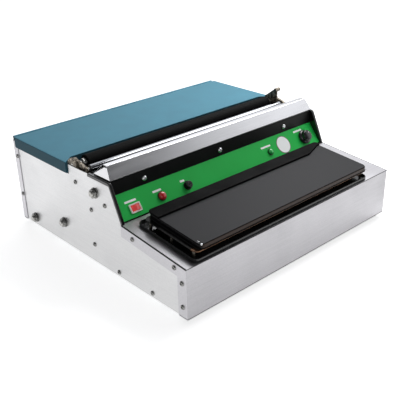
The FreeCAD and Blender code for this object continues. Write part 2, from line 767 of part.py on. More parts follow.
def cutter_rod():
    """Low-voltage heating rod under the ridge of the bar, on its two stands."""
    y = 0.5 * (bar_ridge_front_y + bar_ridge_back_y)
    z = bar_ridge_z - sheet - cutter_rod_radius
    reach = bar_half_length - 18.0
    rod = rod_x(-reach, reach, (y, z), cutter_rod_radius)
    foot = block(reach - 6.0, reach, y - 3.0, y + 3.0, bar_low_z, z)
    return rod.fuse([foot, mirrored(foot)]).removeSplitter()


# ---- cross rods and film rollers -----------------------------------------------------------
def cross_rod(yz):
    """Threaded-end rod through both side plates."""
    reach = half_width + nut_length + thread_stub
    return rod_x(-reach, reach, yz, rod_radius)


def axle_nut(yz):
    """Hexagon nut with a washer on the outside of the right side plate."""
    points = [
        (yz[0] + nut_radius * math.cos(math.radians(60.0 * i)),
         yz[1] + nut_radius * math.sin(math.radians(60.0 * i))) for i in range(6)
    ]
    start = half_width + 1.0
    hexagon = slab_x(points, start, half_width + nut_length)
    rounding = Part.makeCone(nut_radius + 3.0, nut_radius - 1.2, nut_length - 1.0,
                             Vector(start, yz[0], yz[1]), Vector(1, 0, 0))
    washer = rod_x(half_width, start, yz, nut_radius + 0.6)
    bore = rod_x(half_width - 1, half_width + 20, yz, rod_radius)
    return hexagon.common(rounding).fuse(washer).cut(bore).removeSplitter()


def film_roller(yz, radius):
    """A film-cradle roller: the tube, and the two bushes pressed in its ends."""
    reach = inner_x - 6.0
    tube = tube_x(-reach, reach, yz, radius, radius - roller_wall)
    plug = tube_x(reach - 14.0, reach, yz, radius - roller_wall, rod_radius + running)
    collar = tube_x(reach, reach + 2.0, yz, radius - 1.0, rod_radius + running)
    bush = plug.fuse(collar).removeSplitter()
    return tube, [bush, mirrored(bush)]


# ---- upper rollers -------------------------------------------------------------------------
def hub_plate(places, x0, x1):
    """Plate along x0 to x1 that joins round ends, each given by centre and radius."""
    shape = None
    for (a, ra), (b, rb) in zip(places[:-1], places[1:]):
        along = unit(a, b)
        side = (-along[1], along[0])
        quad = [
            (a[0] + side[0] * ra, a[1] + side[1] * ra),
            (b[0] + side[0] * rb, b[1] + side[1] * rb),
            (b[0] - side[0] * rb, b[1] - side[1] * rb),
            (a[0] - side[0] * ra, a[1] - side[1] * ra),
        ]
        link = slab_x(quad, x0, x1).fuse([rod_x(x0, x1, a, ra), rod_x(x0, x1, b, rb)])
        shape = link if shape is None else shape.fuse(link)
    return shape.removeSplitter()


def bracket():
    """Fixed bracket on the inside of the right side plate, with the bore for the black roller."""
    places = [(bracket_screw_yz, 9.0), (black_roller_yz, arm_hub_radius + 0.5)]
    plate = hub_plate(places, bracket_x, inner_x - 0.02)
    plate = plate.cut(rod_x(bracket_x - 1, inner_x + 1, black_roller_yz, black_shaft_radius + running))
    return plate.cut(rod_x(bracket_x - 1, inner_x + 1, bracket_screw_yz, screw_radius + hole_play))


def arm():
    """Right swing arm: turns on the black roller's journal and carries the white roller."""
    places = [(black_roller_yz, arm_hub_radius), (white_roller_yz, arm_nose_radius)]
    link = hub_plate(places, arm_x, arm_x + arm_thickness)
    reach = arm_x + arm_thickness + 1
    link = link.cut(rod_x(arm_x - 1, reach, black_roller_yz, black_shaft_radius + running))
    return link.cut(rod_x(arm_x - 1, reach, white_roller_yz, white_shaft_radius))


def black_roller():
    """Rubber-covered drive roller and its steel shaft."""
    sleeve = tube_x(-black_roller_half, black_roller_half, black_roller_yz, black_roller_radius,
                    black_shaft_radius)
    reach = inner_x - 0.4
    shaft = rod_x(-reach, reach, black_roller_yz, black_shaft_radius)
    for side in (-1, 1):
        x = side * (black_roller_half + 3.2)
        shaft = shaft.fuse(rod_x(x - 2.8, x + 2.8, black_roller_yz, black_shaft_radius + 3.0))
    return sleeve, shaft.removeSplitter()


def white_roller():
    """Bright guide roller that turns on a fixed spindle between the arms."""
    bore = white_shaft_radius + running
    tube = tube_x(-white_roller_half, white_roller_half, white_roller_yz, white_roller_radius, bore)
    reach = arm_x + arm_thickness
    spindle = rod_x(-reach, reach, white_roller_yz, white_shaft_radius)
    return tube, spindle


def finger_tab():
    """Upright plate on the right arm, with a cross pin at its tip, for lifting both arms."""
    y, z = black_roller_yz
    tip = (y - tab_reach[0], z + tab_reach[1])
    foot = (y - tab_foot[0], z + tab_foot[1])
    heel = (y + tab_heel[0], z + tab_heel[1])
    x1 = arm_x - 0.02
    x0 = x1 - tab_thickness
    hub = (black_roller_yz, black_shaft_radius + 4.0)
    edge = [(foot, 3.0), (tip, 3.0), (heel, 3.0), hub, (foot, 3.0)]
    tab = hub_plate(edge, x0, x1).fuse(slab_x([foot, tip, heel, black_roller_yz], x0, x1))
    grip = rod_x(x0 - 1.5, bracket_x + 2.0, tip, 3.6)
    bore = rod_x(x1 - 9, x1 + 9, black_roller_yz, black_shaft_radius + running)
    return tab.fuse(grip).removeSplitter().cut(bore)


# ---- lid -----------------------------------------------------------------------------------
def lid():
    """Folded lid: flat top, side skirts that wrap round the front corners, and a front flange."""
    plan = [
        (-lid_half_width, lid_back_y),
        (-lid_half_width, lid_corner_y),
        (-lid_half_width + lid_corner_x, lid_front_y),
        (lid_half_width - lid_corner_x, lid_front_y),
        (lid_half_width, lid_corner_y),
        (lid_half_width, lid_back_y),
    ]
    under = lid_top_z - sheet
    corners = [Vector(x, y, under) for x, y in plan]
    top = Part.Face(Part.makePolygon(corners + corners[:1])).extrude(Vector(0, 0, sheet))
    inner_line = offset_line(plan, sheet)
    skirt_z = lid_top_z - lid_skirt
    flange_z = lid_top_z - lid_flange_drop

    def wall(first, low_z):
        ring = plan[first:first + 2] + inner_line[first:first + 2][::-1]
        points = [Vector(x, y, low_z) for x, y in ring]
        face = Part.Face(Part.makePolygon(points + points[:1]))
        return face.extrude(Vector(0, 0, under - low_z))

    walls = [wall(first, skirt_z) for first in (0, 1, 3, 4)]
    walls.append(wall(2, flange_z))
    inward = lid_half_width - lid_corner_wrap * lid_corner_x
    low = block(-inward, inward, lid_corner_y - 9, lid_front_y + 9, 0, flange_z)
    return top.fuse(walls).cut(low).removeSplitter()


def hinge():
    """Long hinge: the leaf under the lid, the leaf on the rear panel, and the pin."""
    pitch = 2.0 * hinge_half_length / knuckle_count
    axis = (hinge_y, hinge_z)
    reach = lid_half_width - sheet - 3.0
    leaf_top = lid_top_z - sheet
    leaf_y = rear_y - sheet
    clear = knuckle_radius + gap
    upper = block(-reach, reach, lid_back_y - hinge_leaf_width, hinge_y - clear,
                  leaf_top - hinge_leaf, leaf_top)
    lower = block(-reach, reach, leaf_y - hinge_leaf, leaf_y, hinge_z - hinge_leaf_width,
                  hinge_z - clear)
    upper_parts, lower_parts = [], []
    for i in range(knuckle_count):
        x0 = -hinge_half_length + i * pitch + 0.5 * gap
        x1 = x0 + pitch - gap
        barrel = rod_x(x0, x1, axis, knuckle_radius)
        left, right = max(x0, -reach), min(x1, reach)
        if i % 2:
            web = block(left, right, hinge_y - clear - 1, hinge_y, leaf_top - hinge_leaf, leaf_top)
            upper_parts += [barrel, web]
        else:
            web = block(left, right, leaf_y - hinge_leaf, leaf_y, hinge_z - clear - 1, hinge_z)
            lower_parts += [barrel, web]
    bore = rod_x(-half_width - 9, half_width + 9, axis, pin_radius + running)
    pin = rod_x(-hinge_half_length + 0.5, hinge_half_length - 0.5, axis, pin_radius)
    lid_leaf = upper.fuse(upper_parts).cut(bore).removeSplitter()
    body_leaf = lower.fuse(lower_parts).cut(bore).removeSplitter()
    return lid_leaf, body_leaf, pin


# ---- small and inner pieces ----------------------------------------------------------------
def feet():
    """Four moulded rubber feet, each with a barbed stem pushed through the floor."""
    shapes = []
    for x, y in foot_places:
        cone = Part.makeCone(foot_radius - 2.5, foot_radius, foot_height, Vector(x, y, -foot_height))
        stem = Part.makeCylinder(stem_radius, sheet, Vector(x, y, 0.0))
        barb = Part.makeCone(stem_radius + 1.5, stem_radius - 0.5, 5.0, Vector(x, y, sheet))
        shapes.append(cone.fuse([stem, barb]).removeSplitter())
    return shapes


def cable_gland():
    """Mains cable gland in the rear panel, with its nut inside."""
    x, z = gland_at
    back = Vector(0, 1, 0)
    collar = Part.makeCylinder(gland_radius + 1.5, 5.0, Vector(x, rear_y, z), back)
    dome = Part.makeCone(gland_radius, gland_radius - 3.0, gland_length - 5.0,
                         Vector(x, rear_y + 5.0, z), back)
    stem = Part.makeCylinder(gland_radius - 2.1, 10.0, Vector(x, rear_y - 10.0, z), back)
    nut = Part.makeCylinder(gland_radius + 1.5, 4.0, Vector(x, rear_y - sheet - 4.0, z), back)
    bore = Part.makeCylinder(3.6, 40.0, Vector(x, rear_y - 20.0, z), back)
    return collar.fuse([dome, stem, nut]).cut(bore).removeSplitter()


def transformer():
    """Step-down transformer for the cutter rod: laminated core, and a winding on its middle leg."""
    x, y = transformer_at
    width, depth, height = core_size
    window = 0.5 * width - core_leg
    low, high = sheet + core_yoke, sheet + height - core_yoke
    core = block(x - width / 2, x + width / 2, y - depth / 2, y + depth / 2, sheet, sheet + height)
    for side in (-1, 1):
        near = x + side * 0.5 * (core_leg + window)
        core = core.cut(block(near - window / 2, near + window / 2, y - depth, y + depth, low, high))
    lug_reach = width / 2 + core_lug[0]
    lugs = block(x - lug_reach, x + lug_reach, y - core_lug[1] / 2, y + core_lug[1] / 2,
                 sheet, sheet + core_lug[2])
    core = core.fuse(lugs).removeSplitter()
    wide = core_leg / 2 + window - 1.0
    deep = depth / 2 + window - 2.0
    coil = block(x - wide, x + wide, y - deep, y + deep, low + 1.0, high - 1.0)
    leg = block(x - core_leg / 2, x + core_leg / 2, y - depth / 2, y + depth / 2, low, high)
    return core, coil.cut(leg)


def terminal_block():
    """Terminal block on the floor, with the wells of its clamp screws."""
    x0, y0 = terminal_at
    depth, height = terminal_size
    body = block(x0, x0 + terminal_ways * terminal_pitch, y0, y0 + depth, sheet, sheet + height)
    wells = [
        Part.makeCylinder(2.2, 9.0, Vector(x0 + (i + 0.5) * terminal_pitch, y, sheet + height - 7.0))
        for i in range(terminal_ways) for y in (y0 + 0.27 * depth, y0 + 0.73 * depth)
    ]
    return body.cut(Part.makeCompound(wells))


# ---- build ---------------------------------------------------------------------------------
def build_box():
    plate = side_plate()
    save("right_side_plate", plate)
    save("left_side_plate", mirrored(plate))
    save("front_housing", front_housing())
    save("rear_panel", rear_panel())
    save("base_pan", base_pan())
    save("partition", partition())
    screws = [side_screw(place, half_width) for place in plate_screws()]
    screws += [side_screw(place, outer_x) for place in strip_screws()]
    save("side_screws", *screws, *[mirrored(screw) for screw in screws])
    save("feet", *feet())
    save("cable_gland", cable_gland())


def build_controls():
    end = cheek()
    save("right_cheek", end)
    save("left_cheek", mirrored(end))
    panel, holes = control_panel()
    save("control_panel", panel)
    save("panel_label", panel_label(holes))
    save("deck_screws", *deck_screws())
    round_plate = Part.makeCylinder(disc[2], 0.4, Vector(disc[0], disc[1], label_thickness))
    save("blank_disc", on_panel(round_plate))
    save("switch_housing", switch_housing())
    save("switch_rocker", switch_rocker())
    for colour, place in (("red", red_lamp), ("green", green_lamp)):
        holder, lens = pilot_lamp(place)
        save(colour + "_lamp_holder", holder)
        save(colour + "_lamp_lens", lens)
    for name, shape in zip(("fuse_holder", "fuse_cap"), fuse_parts()):
        save(name, shape)
    for name, shape in zip(("temperature_knob", "knob_spindle", "thermostat"), knob_parts()):
        save(name, shape)
    save("transformer", *transformer())
    save("terminal_block", terminal_block())


def build_hot_plate():
    save("hot_plate_tray", hot_tray())
    save("hot_plate_posts", *hot_posts())
    save("rear_strip", rear_strip())
    names = ("heating_plate", "plate_cover", "heater_pan", "heater_element", "insulation_board")
    for name, shape in zip(names, heating_parts()):
        save(name, shape)


def build_cutter():
    save("cutter_bar", cutter_bar())
    save("cutter_strip", cutter_strip())
    save("cutter_rod", cutter_rod())


def build_rollers():
    nuts = []
    for name, yz in (("tie_rod", tie_rod_yz), ("front_axle", front_axle_yz),
                     ("rear_axle", rear_axle_yz)):
        save(name, cross_rod(yz))
        nuts.append(axle_nut(yz))
    save("axle_nuts", *nuts, *[mirrored(nut) for nut in nuts])
    for name, yz, radius in (("front_film", front_axle_yz, front_film_radius),
                             ("rear_film", rear_axle_yz, rear_film_radius)):
        tube, bushes = film_roller(yz, radius)
        save(name + "_roller", tube)
        save(name + "_bushes", *bushes)
    right = bracket()
    save("right_bracket", right)
    save("left_bracket", mirrored(right))
    swing = arm()
    save("right_arm", swing)
    save("left_arm", mirrored(swing))
    for name, shape in zip(("black_roller", "black_roller_shaft"), black_roller()):
        save(name, shape)
    for name, shape in zip(("white_roller", "white_roller_spindle"), white_roller()):
        save(name, shape)
    save("finger_tab", finger_tab())


def build_lid():
    save("lid", lid())
    for name, shape in zip(("lid_hinge_leaf", "rear_hinge_leaf", "hinge_pin"), hinge()):
        save(name, shape)


os.makedirs("parts", exist_ok=True)
build_box()
build_controls()
build_hot_plate()
build_cutter()
build_rollers()
build_lid()
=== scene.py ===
import json
import math
import bmesh
import bpy
import numpy as np
from mathutils import Matrix, Vector


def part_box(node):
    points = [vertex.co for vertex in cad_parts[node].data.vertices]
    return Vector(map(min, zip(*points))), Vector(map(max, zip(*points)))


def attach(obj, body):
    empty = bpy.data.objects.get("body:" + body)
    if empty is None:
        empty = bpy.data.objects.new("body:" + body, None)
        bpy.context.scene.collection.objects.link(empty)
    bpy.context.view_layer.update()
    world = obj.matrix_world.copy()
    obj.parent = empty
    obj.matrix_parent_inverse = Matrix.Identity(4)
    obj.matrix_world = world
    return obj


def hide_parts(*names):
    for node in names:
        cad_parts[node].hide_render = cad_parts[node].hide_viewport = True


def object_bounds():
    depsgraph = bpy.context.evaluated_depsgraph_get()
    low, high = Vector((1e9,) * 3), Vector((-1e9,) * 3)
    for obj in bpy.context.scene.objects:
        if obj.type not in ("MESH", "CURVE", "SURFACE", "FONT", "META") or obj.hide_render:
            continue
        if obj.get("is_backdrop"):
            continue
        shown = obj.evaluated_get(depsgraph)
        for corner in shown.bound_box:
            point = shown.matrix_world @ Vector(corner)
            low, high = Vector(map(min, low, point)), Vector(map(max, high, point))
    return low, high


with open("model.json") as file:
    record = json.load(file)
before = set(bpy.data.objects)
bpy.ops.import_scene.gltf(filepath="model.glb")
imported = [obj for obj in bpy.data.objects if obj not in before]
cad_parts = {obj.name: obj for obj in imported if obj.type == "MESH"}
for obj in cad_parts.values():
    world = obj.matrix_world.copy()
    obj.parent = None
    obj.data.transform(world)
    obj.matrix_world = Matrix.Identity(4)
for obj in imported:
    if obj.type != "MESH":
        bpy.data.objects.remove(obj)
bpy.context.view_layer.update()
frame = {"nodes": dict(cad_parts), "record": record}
nodes = frame["nodes"]
mm = 0.001

# ---- Camera --------------------------------------------------------------------------------------
# A long lens, from in front of the machine, to its left and a little above it.
view_azimuth = math.radians(-42.11)
view_elevation = math.radians(25.79)
view_roll = math.radians(-1.44)
view_distance = 1181.73 * mm
view_target = Vector((-46.22, -51.01, 70.0)) * mm

back = Vector((math.sin(view_azimuth) * math.cos(view_elevation),
               -math.cos(view_azimuth) * math.cos(view_elevation),
               math.sin(view_elevation)))
level = Vector((math.cos(view_azimuth), math.sin(view_azimuth), 0.0))
across = math.cos(view_roll) * level + math.sin(view_roll) * back.cross(level)
camera = bpy.data.objects.new("camera", bpy.data.cameras.new("camera"))
bpy.context.scene.collection.objects.link(camera)
camera.data.sensor_width = 36.0
camera.data.lens = 60.77
camera.matrix_world = (Matrix.Translation(view_target + back * view_distance)
                       @ Matrix((across, back.cross(across), back)).transposed().to_4x4())
bpy.context.scene.camera = camera


# ---- Studio --------------------------------------------------------------------------------------
# A white table that runs out of sight, a dim even room all round, and three soft lamps. The room is
# brighter on the right and high at the back right, and darker high in front, so that polished
# steel shows a gradient along its length.
floor_reach = 14.0
room_light = 0.20
room_sides = (                    # direction, cosines where it starts and is full, light it adds
    (Vector((0.42, -0.70, 0.58)), 0.930, 0.990, -0.17),
    (Vector((0.53, 0.56, 0.64)), 0.86, 0.985, 1.35),
    (Vector((0.86, -0.36, 0.34)), 0.876, 0.975, 0.88),
)
floor_glow = 0.70                 # the table is lit from below, like a light table
lamps = (                         # name, place in metres, size in metres, watts
    ("left lamp", (-1.7, -0.9, 1.3), 1.2, 0.8),
    ("front lamp", (-0.5, -2.0, 1.4), 1.0, 3.0),
    ("right lamp", (0.46, -0.02, 0.74), 0.5, 5.0),
)
lamp_aim = Vector((0.0, 0.0, 0.08))


def paint(code):
    """An sRGB hex value as linear red, green, blue and alpha."""
    values = np.array([int(code[i:i + 2], 16) for i in (1, 3, 5)]) / 255.0
    linear = np.where(values <= 0.04045, values / 12.92, ((values + 0.055) / 1.055) ** 2.4)
    return (*linear.tolist(), 1.0)


def add(tree, kind, inputs=None, **settings):
    """Add one node: settings are its own properties, inputs its socket values or links."""
    made = tree.nodes.new(kind)
    for name, value in settings.items():
        setattr(made, name, value)
    for key, value in (inputs or {}).items():
        if isinstance(value, bpy.types.NodeSocket):
            tree.links.new(value, made.inputs[key])
        else:
            made.inputs[key].default_value = value
    return made


room = bpy.data.worlds.new("room")
room.use_nodes = True
room.node_tree.nodes.clear()
toward = add(room.node_tree, "ShaderNodeTexCoord").outputs["Generated"]
lit = room_light
for side, start, full, extra in room_sides:
    along = add(room.node_tree, "ShaderNodeVectorMath", {0: toward, 1: side.normalized()},
                operation="DOT_PRODUCT").outputs["Value"]
    share = add(room.node_tree, "ShaderNodeMapRange", {"Value": along, "From Min": start, "From Max": full},
                interpolation_type="SMOOTHSTEP").outputs[0]
    lit = add(room.node_tree, "ShaderNodeMath", {0: share, 1: extra, 2: lit},
              operation="MULTIPLY_ADD").outputs[0]
sky = add(room.node_tree, "ShaderNodeBackground", {"Color": paint("#fbfcff"), "Strength": lit})
add(room.node_tree, "ShaderNodeOutputWorld", {"Surface": sky.outputs[0]})
bpy.context.scene.world = room
bpy.context.scene.view_settings.view_transform = "Standard"

for name, place, size, watts in lamps:
    lamp = bpy.data.objects.new(name, bpy.data.lights.new(name, "AREA"))
    bpy.context.scene.collection.objects.link(lamp)
    lamp.data.size = size
    lamp.data.energy = watts
    lamp.location = place
    lamp.rotation_euler = (lamp_aim - Vector(place)).to_track_quat("-Z", "Y").to_euler()

table = bpy.data.meshes.new("table")
table.from_pydata([(-floor_reach, -floor_reach, 0), (floor_reach, -floor_reach, 0),
                   (floor_reach, floor_reach, 0), (-floor_reach, floor_reach, 0)], [], [(0, 1, 2, 3)])
table_top = bpy.data.objects.new("table", table)
bpy.context.scene.collection.objects.link(table_top)
laminate = bpy.data.materials.new("white matt laminate")
laminate.use_nodes = True
for socket, value in (("Base Color", paint("#f6f6f6")), ("Roughness", 0.9),
                      ("Emission Color", paint("#ffffff")), ("Emission Strength", floor_glow)):
    laminate.node_tree.nodes["Principled BSDF"].inputs[socket].default_value = value
table.materials.append(laminate)
table_top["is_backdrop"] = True


# ---- Box: side plates, front housing, rear panel, floor and partition ----------------------------
# Folded from 1.2 mm stainless sheet with a satin finish, guillotined and bent on a press brake.
# The folds have a small radius, the cut edges are only deburred, and the outer sheets are screwed
# round the flat side plates. Inside, floor and partition are galvanised sheet.
fold_radius = 1.4 * mm
cut_edge = 0.25 * mm
crease = math.radians(28.0)       # a sharper turn between two faces is an edge
body_of = {n: body for body, members in frame["record"]["behaviour"]["bodies"].items() for n in members}


def finish_of(name):
    """An empty material: its node tree, its shader, and the object's own coordinates."""
    made = bpy.data.materials.new(name)
    made.use_nodes = True
    shader = made.node_tree.nodes["Principled BSDF"]
    place = add(made.node_tree, "ShaderNodeTexCoord").outputs["Object"]
    return made, made.node_tree, shader, place


def mixed(tree, share, first, second):
    """Colour that goes from first to second as share goes from 0 to 1."""
    return add(tree, "ShaderNodeMix", {0: share, 6: first, 7: second}, data_type="RGBA").outputs[2]


def spread(tree, value, low, high, start=0.0, end=1.0):
    """A value mapped in a straight line from start..end to low..high."""
    return add(tree, "ShaderNodeMapRange", {"Value": value, "From Min": start, "From Max": end,
                                            "To Min": low, "To Max": high}).outputs[0]


def tones(tree, value, dark, light, start=0.3, end=0.7):
    """A colour from dark to light as value goes from start to end, where most of a noise lies."""
    return mixed(tree, spread(tree, value, 0, 1, start, end), paint(dark), paint(light))


def facing(tree):
    """How far a surface faces along x, y and z, each from -1 to 1."""
    normal = add(tree, "ShaderNodeTexCoord").outputs["Normal"]
    return add(tree, "ShaderNodeSeparateXYZ", {0: normal}).outputs


def joined(tree, shader, colour, roughness, normal=None):
    """Give a shader its colour and its roughness and, if the surface has one, its bump."""
    for socket, value in (("Base Color", colour), ("Roughness", roughness), ("Normal", normal)):
        if value is not None:
            tree.links.new(value, shader.inputs[socket])


def noise(tree, place, size, stretch=(1.0, 1.0, 1.0), detail=2.0):
    """Even noise whose grains are about size metres across, longer along an axis by stretch."""
    scaled = add(tree, "ShaderNodeMapping", {"Vector": place,
                                             "Scale": [1.0 / (size * s) for s in stretch]})
    return add(tree, "ShaderNodeTexNoise", {"Vector": scaled.outputs[0], "Scale": 1.0,
                                            "Detail": detail}).outputs[0]


def bumped(tree, height, depth):
    """A surface raised by depth metres where height is 1."""
    return add(tree, "ShaderNodeBump", {"Height": height, "Distance": depth, "Strength": 1.0}).outputs[0]


def satin_steel(name, light, dark, grain, roughness=0.34, ends=1.0):
    """Stainless sheet, number 4 finish: fine straight scratches along the grain, faint hand marks.
    The scratches are 0.2 mm apart on the real sheet and are drawn 0.9 mm apart to show. ends is how
    much brighter faces square to x are painted, a painted highlight; the scratches meet them end on."""
    made, tree, shader, place = finish_of(name)
    scratch = noise(tree, place, 0.9 * mm, grain, 3.0)
    marks = noise(tree, place, 55.0 * mm)
    pits = noise(tree, place, 1.6 * mm, detail=1.0)
    both = add(tree, "ShaderNodeMath", {0: scratch, 1: 0.55, 2: spread(tree, pits, 0.0, 0.45)},
               operation="MULTIPLY_ADD").outputs[0]
    shader.inputs["Metallic"].default_value = 1.0
    tone = tones(tree, both, dark, light)
    if ends != 1.0:
        # Faces square to x are painted brighter by ends: painted light.
        end_light_mask = add(tree, "ShaderNodeMath", {0: facing(tree)[0]}, operation="ABSOLUTE").outputs[0]
        painted_end_light = add(tree, "ShaderNodeHueSaturation", {"Value": ends, "Color": tone}).outputs[0]
        tone = mixed(tree, spread(tree, end_light_mask, 0, 1, 0.8, 0.95), tone, painted_end_light)
    joined(tree, shader, tone, spread(tree, marks, roughness - 0.05, roughness + 0.09, 0.3, 0.7),
           bumped(tree, both, 0.012 * mm))
    return made


def galvanised(name):
    """Zinc-coated steel sheet: dull grey with pale spangle grains about 9 mm across."""
    made, tree, shader, place = finish_of(name)
    cells = add(tree, "ShaderNodeTexVoronoi", {"Vector": place, "Scale": 1.0 / (9.0 * mm)})
    value = add(tree, "ShaderNodeSeparateColor", {0: cells.outputs["Color"]}).outputs[0]
    shader.inputs["Metallic"].default_value = 1.0
    joined(tree, shader, mixed(tree, value, paint("#8d9092"), paint("#b4b7b8")),
           spread(tree, value, 0.42, 0.58))
    return made


def merged(node):
    """A copy of a CAD node's mesh with its doubles merged and its flat facets joined."""
    work = bmesh.new()
    work.from_mesh(nodes[node].data)
    bmesh.ops.remove_doubles(work, verts=work.verts, dist=0.002 * mm)
    bmesh.ops.dissolve_limit(work, angle_limit=math.radians(0.4), verts=work.verts, edges=work.edges)
    return work


def stand_for(made, material, *names):
    """A new piece takes the body and the material slot of the CAD nodes that it stands for."""
    made.data.materials.clear()
    made.data.materials.append(material)
    bpy.context.scene.collection.objects.link(made)
    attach(made, body_of[names[0]])
    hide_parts(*names)
    return made


def softened(node, material, fold=cut_edge, sheet_edge=3.0 * mm, steps=3):
    """A CAD node with rounded edges. An outer edge between two wide faces gets the fold radius. An
    inner edge, or one beside a face narrower than sheet_edge, gets the small one. A face's width
    is its area over the edge's length."""
    work = merged(node)
    share = work.edges.layers.float.new("bevel_weight_edge")
    for line in work.edges:
        if len(line.link_faces) == 2 and line.calc_face_angle(0.0) > crease:
            width = min(face.calc_area() for face in line.link_faces) / max(line.calc_length(), 1e-6)
            folded = width > sheet_edge and line.is_convex
            line[share] = 1.0 if folded else cut_edge / fold
    mesh = bpy.data.meshes.new(node + "_shaped")
    work.to_mesh(mesh)
    work.free()
    for layer in [a.name for a in mesh.attributes if a.name.startswith("custom_normal")]:
        mesh.attributes.remove(mesh.attributes[layer])
    mesh.shade_smooth()
    mesh.set_sharp_from_angle(angle=crease)
    made = bpy.data.objects.new(node + "_shaped", mesh)
    rounding = made.modifiers.new("rounding", "BEVEL")
    rounding.width = fold
    rounding.segments = steps
    rounding.limit_method = "WEIGHT"
    rounding.use_clamp_overlap = False
    rounding.harden_normals = True
    return stand_for(made, material, node)


def wear(material, *names):
    """Give CAD nodes that are already the right shape their material."""
    for name in names:
        nodes[name].data.materials.clear()
        nodes[name].data.materials.append(material)


# One stainless sheet in two tones: the side plates are painted lighter and the housing darker, as painted
# light and shade.
painted_lit_side_steel = satin_steel("satin stainless sheet, upright grain", "#dfdfdf", "#d3d3d4", (1.0, 60.0, 1.0))
painted_shaded_housing_steel = satin_steel("satin stainless sheet, long grain", "#b4b3b6", "#a6a5a8", (60.0, 1.0, 1.0),
                            ends=1.4)
zinc_sheet = galvanised("galvanised sheet")
for node in ("left_side_plate", "right_side_plate"):
    softened(node, painted_lit_side_steel)
for node in ("front_housing", "rear_panel"):
    softened(node, painted_shaded_housing_steel, fold_radius)
wear(zinc_sheet, "base_pan", "partition")


# ---- Side screws ---------------------------------------------------------------------------------
# Pan-head machine screws with a cross recess, bright zinc plated. They hold the side plates, the
# folded strips, the partition and the roller brackets.
screw_head = (4.0, 2.2)           # radius and height, mm
screw_shank = (1.9, 7.0)          # radius and length, mm
recess = (2.3, 0.42, 1.15)        # arm length, half width and depth, mm
head_twist = 1.7                  # each recess stops this much further round, radians


def solids_of(node):
    """Lowest and highest corner of each separate solid in a CAD node."""
    work = merged(node)
    left, found = set(work.verts), []
    while left:
        group, queue = set(), [left.pop()]
        while queue:
            point = queue.pop()
            group.add(point)
            for line in point.link_edges:
                other = line.other_vert(point)
                if other in left:
                    left.discard(other)
                    queue.append(other)
        places = np.array([point.co for point in group])
        found.append((places.min(0), places.max(0)))
    work.free()
    return sorted(found, key=lambda box: tuple(box[0]))


def around(count):
    """The angles of count even steps round a circle."""
    return np.arange(count) * (2.0 * np.pi / count)


def turned(profile, segments, reach=None):
    """A turned shape: each (radius, height) of the profile swept round the z axis, so that
    x = radius cos angle and y = radius sin angle. reach, if given, scales the radius at each point."""
    angle = around(segments)
    radius = np.array(profile, float)[:, :1] * np.ones((1, segments))
    height = np.array(profile, float)[:, 1:] * np.ones((1, segments))
    if reach is not None:
        radius = radius * reach(angle[None, :], height)
    return np.stack([radius * np.cos(angle), radius * np.sin(angle), height], axis=2)


def placed(points, origin, outward, along=Vector((0.0, 0.0, 1.0))):
    """Turn points so that z runs outward and y as near along as it can, and move them to origin."""
    z = Vector(outward).normalized()
    x = Vector(along).cross(z).normalized()
    basis = np.array([x, z.cross(x), z])
    return points.reshape(-1, 3) @ basis + np.array(origin)


def ring_faces(rows, columns, closed_rows=False):
    """Quads between neighbouring rows of a grid whose last column joins its first."""
    i = np.arange(rows if closed_rows else rows - 1)[:, None]
    j = np.arange(columns)[None, :]
    after, below = (j + 1) % columns, (i + 1) % rows
    corners = [i * columns + j, i * columns + after, below * columns + after, below * columns + j]
    return np.stack([c + 0 * (i + j) for c in corners], axis=2).reshape(-1, 4)


def mesh_of(name, parts, sharp=35.0):
    """One mesh from several (points, faces) pairs, with poles merged and faces turned outwards."""
    start, points, faces = 0, [], []
    for part_points, part_faces in parts:
        points.append(part_points.reshape(-1, 3))
        faces.append(part_faces + start)
        start += len(points[-1])
    mesh = bpy.data.meshes.new(name)
    mesh.from_pydata(np.concatenate(points).tolist(), [], np.concatenate(faces).tolist())
    work = bmesh.new()
    work.from_mesh(mesh)
    bmesh.ops.remove_doubles(work, verts=work.verts, dist=0.001 * mm)
    bmesh.ops.recalc_face_normals(work, faces=work.faces)
    work.to_mesh(mesh)
    work.free()
    mesh.shade_smooth()
    mesh.set_sharp_from_angle(angle=math.radians(sharp))
    return bpy.data.objects.new(name, mesh)


def cross_head(radius, height, shank, shank_length):
    """A domed screw head with a cross recess, on its shank. The top is height times
    (1 - (r / radius)^3)^0.45, less the recess where a point lies inside either arm of the cross."""
    rings = 22
    r = radius * np.linspace(0.0, 1.0, rings) ** 0.9
    top = height * (1.0 - (r / radius) ** 3) ** 0.45
    tail = [(radius, 0.0), (shank, 0.0), (shank, -shank_length), (0.0, -shank_length)]
    points = turned(list(zip(r, top)) + tail, 48)
    near = np.abs(points[:rings, :, :2]).min(axis=2)
    far = np.abs(points[:rings, :, :2]).max(axis=2)
    arm, half, depth = recess
    inside = np.clip((half - near) / 0.15 + 0.5, 0, 1) * np.clip((arm - far) / 0.5 + 0.5, 0, 1)
    points[:rings, :, 2] -= depth * inside
    return points * mm, ring_faces(len(points), 48)


def plated_metal(name, light, dark, roughness):
    """Plated or ground metal: one bright tone with slightly dull patches about 3 mm across."""
    made, tree, shader, place = finish_of(name)
    patch = noise(tree, place, 3.0 * mm)
    shader.inputs["Metallic"].default_value = 1.0
    joined(tree, shader, tones(tree, patch, dark, light, 0.35, 0.65),
           spread(tree, patch, roughness - 0.06, roughness + 0.12, 0.3, 0.7))
    return made


plated = plated_metal("bright zinc-plated steel", "#a3a3a0", "#6f6f6d", 0.24)
head_shape = cross_head(*screw_head, *screw_shank)
heads = []
for count, (low, high) in enumerate(solids_of("side_screws")):
    side = 1.0 if low[0] > 0 else -1.0
    seat = max(abs(low[0]), abs(high[0])) - screw_head[1] * mm
    middle = 0.5 * (low + high)
    twist = Vector((0.0, math.sin(head_twist * count), math.cos(head_twist * count)))
    heads.append((placed(head_shape[0], (side * seat, middle[1], middle[2]), (side, 0, 0), twist),
                  head_shape[1]))
stand_for(mesh_of("side_screw_heads", heads), plated, "side_screws")


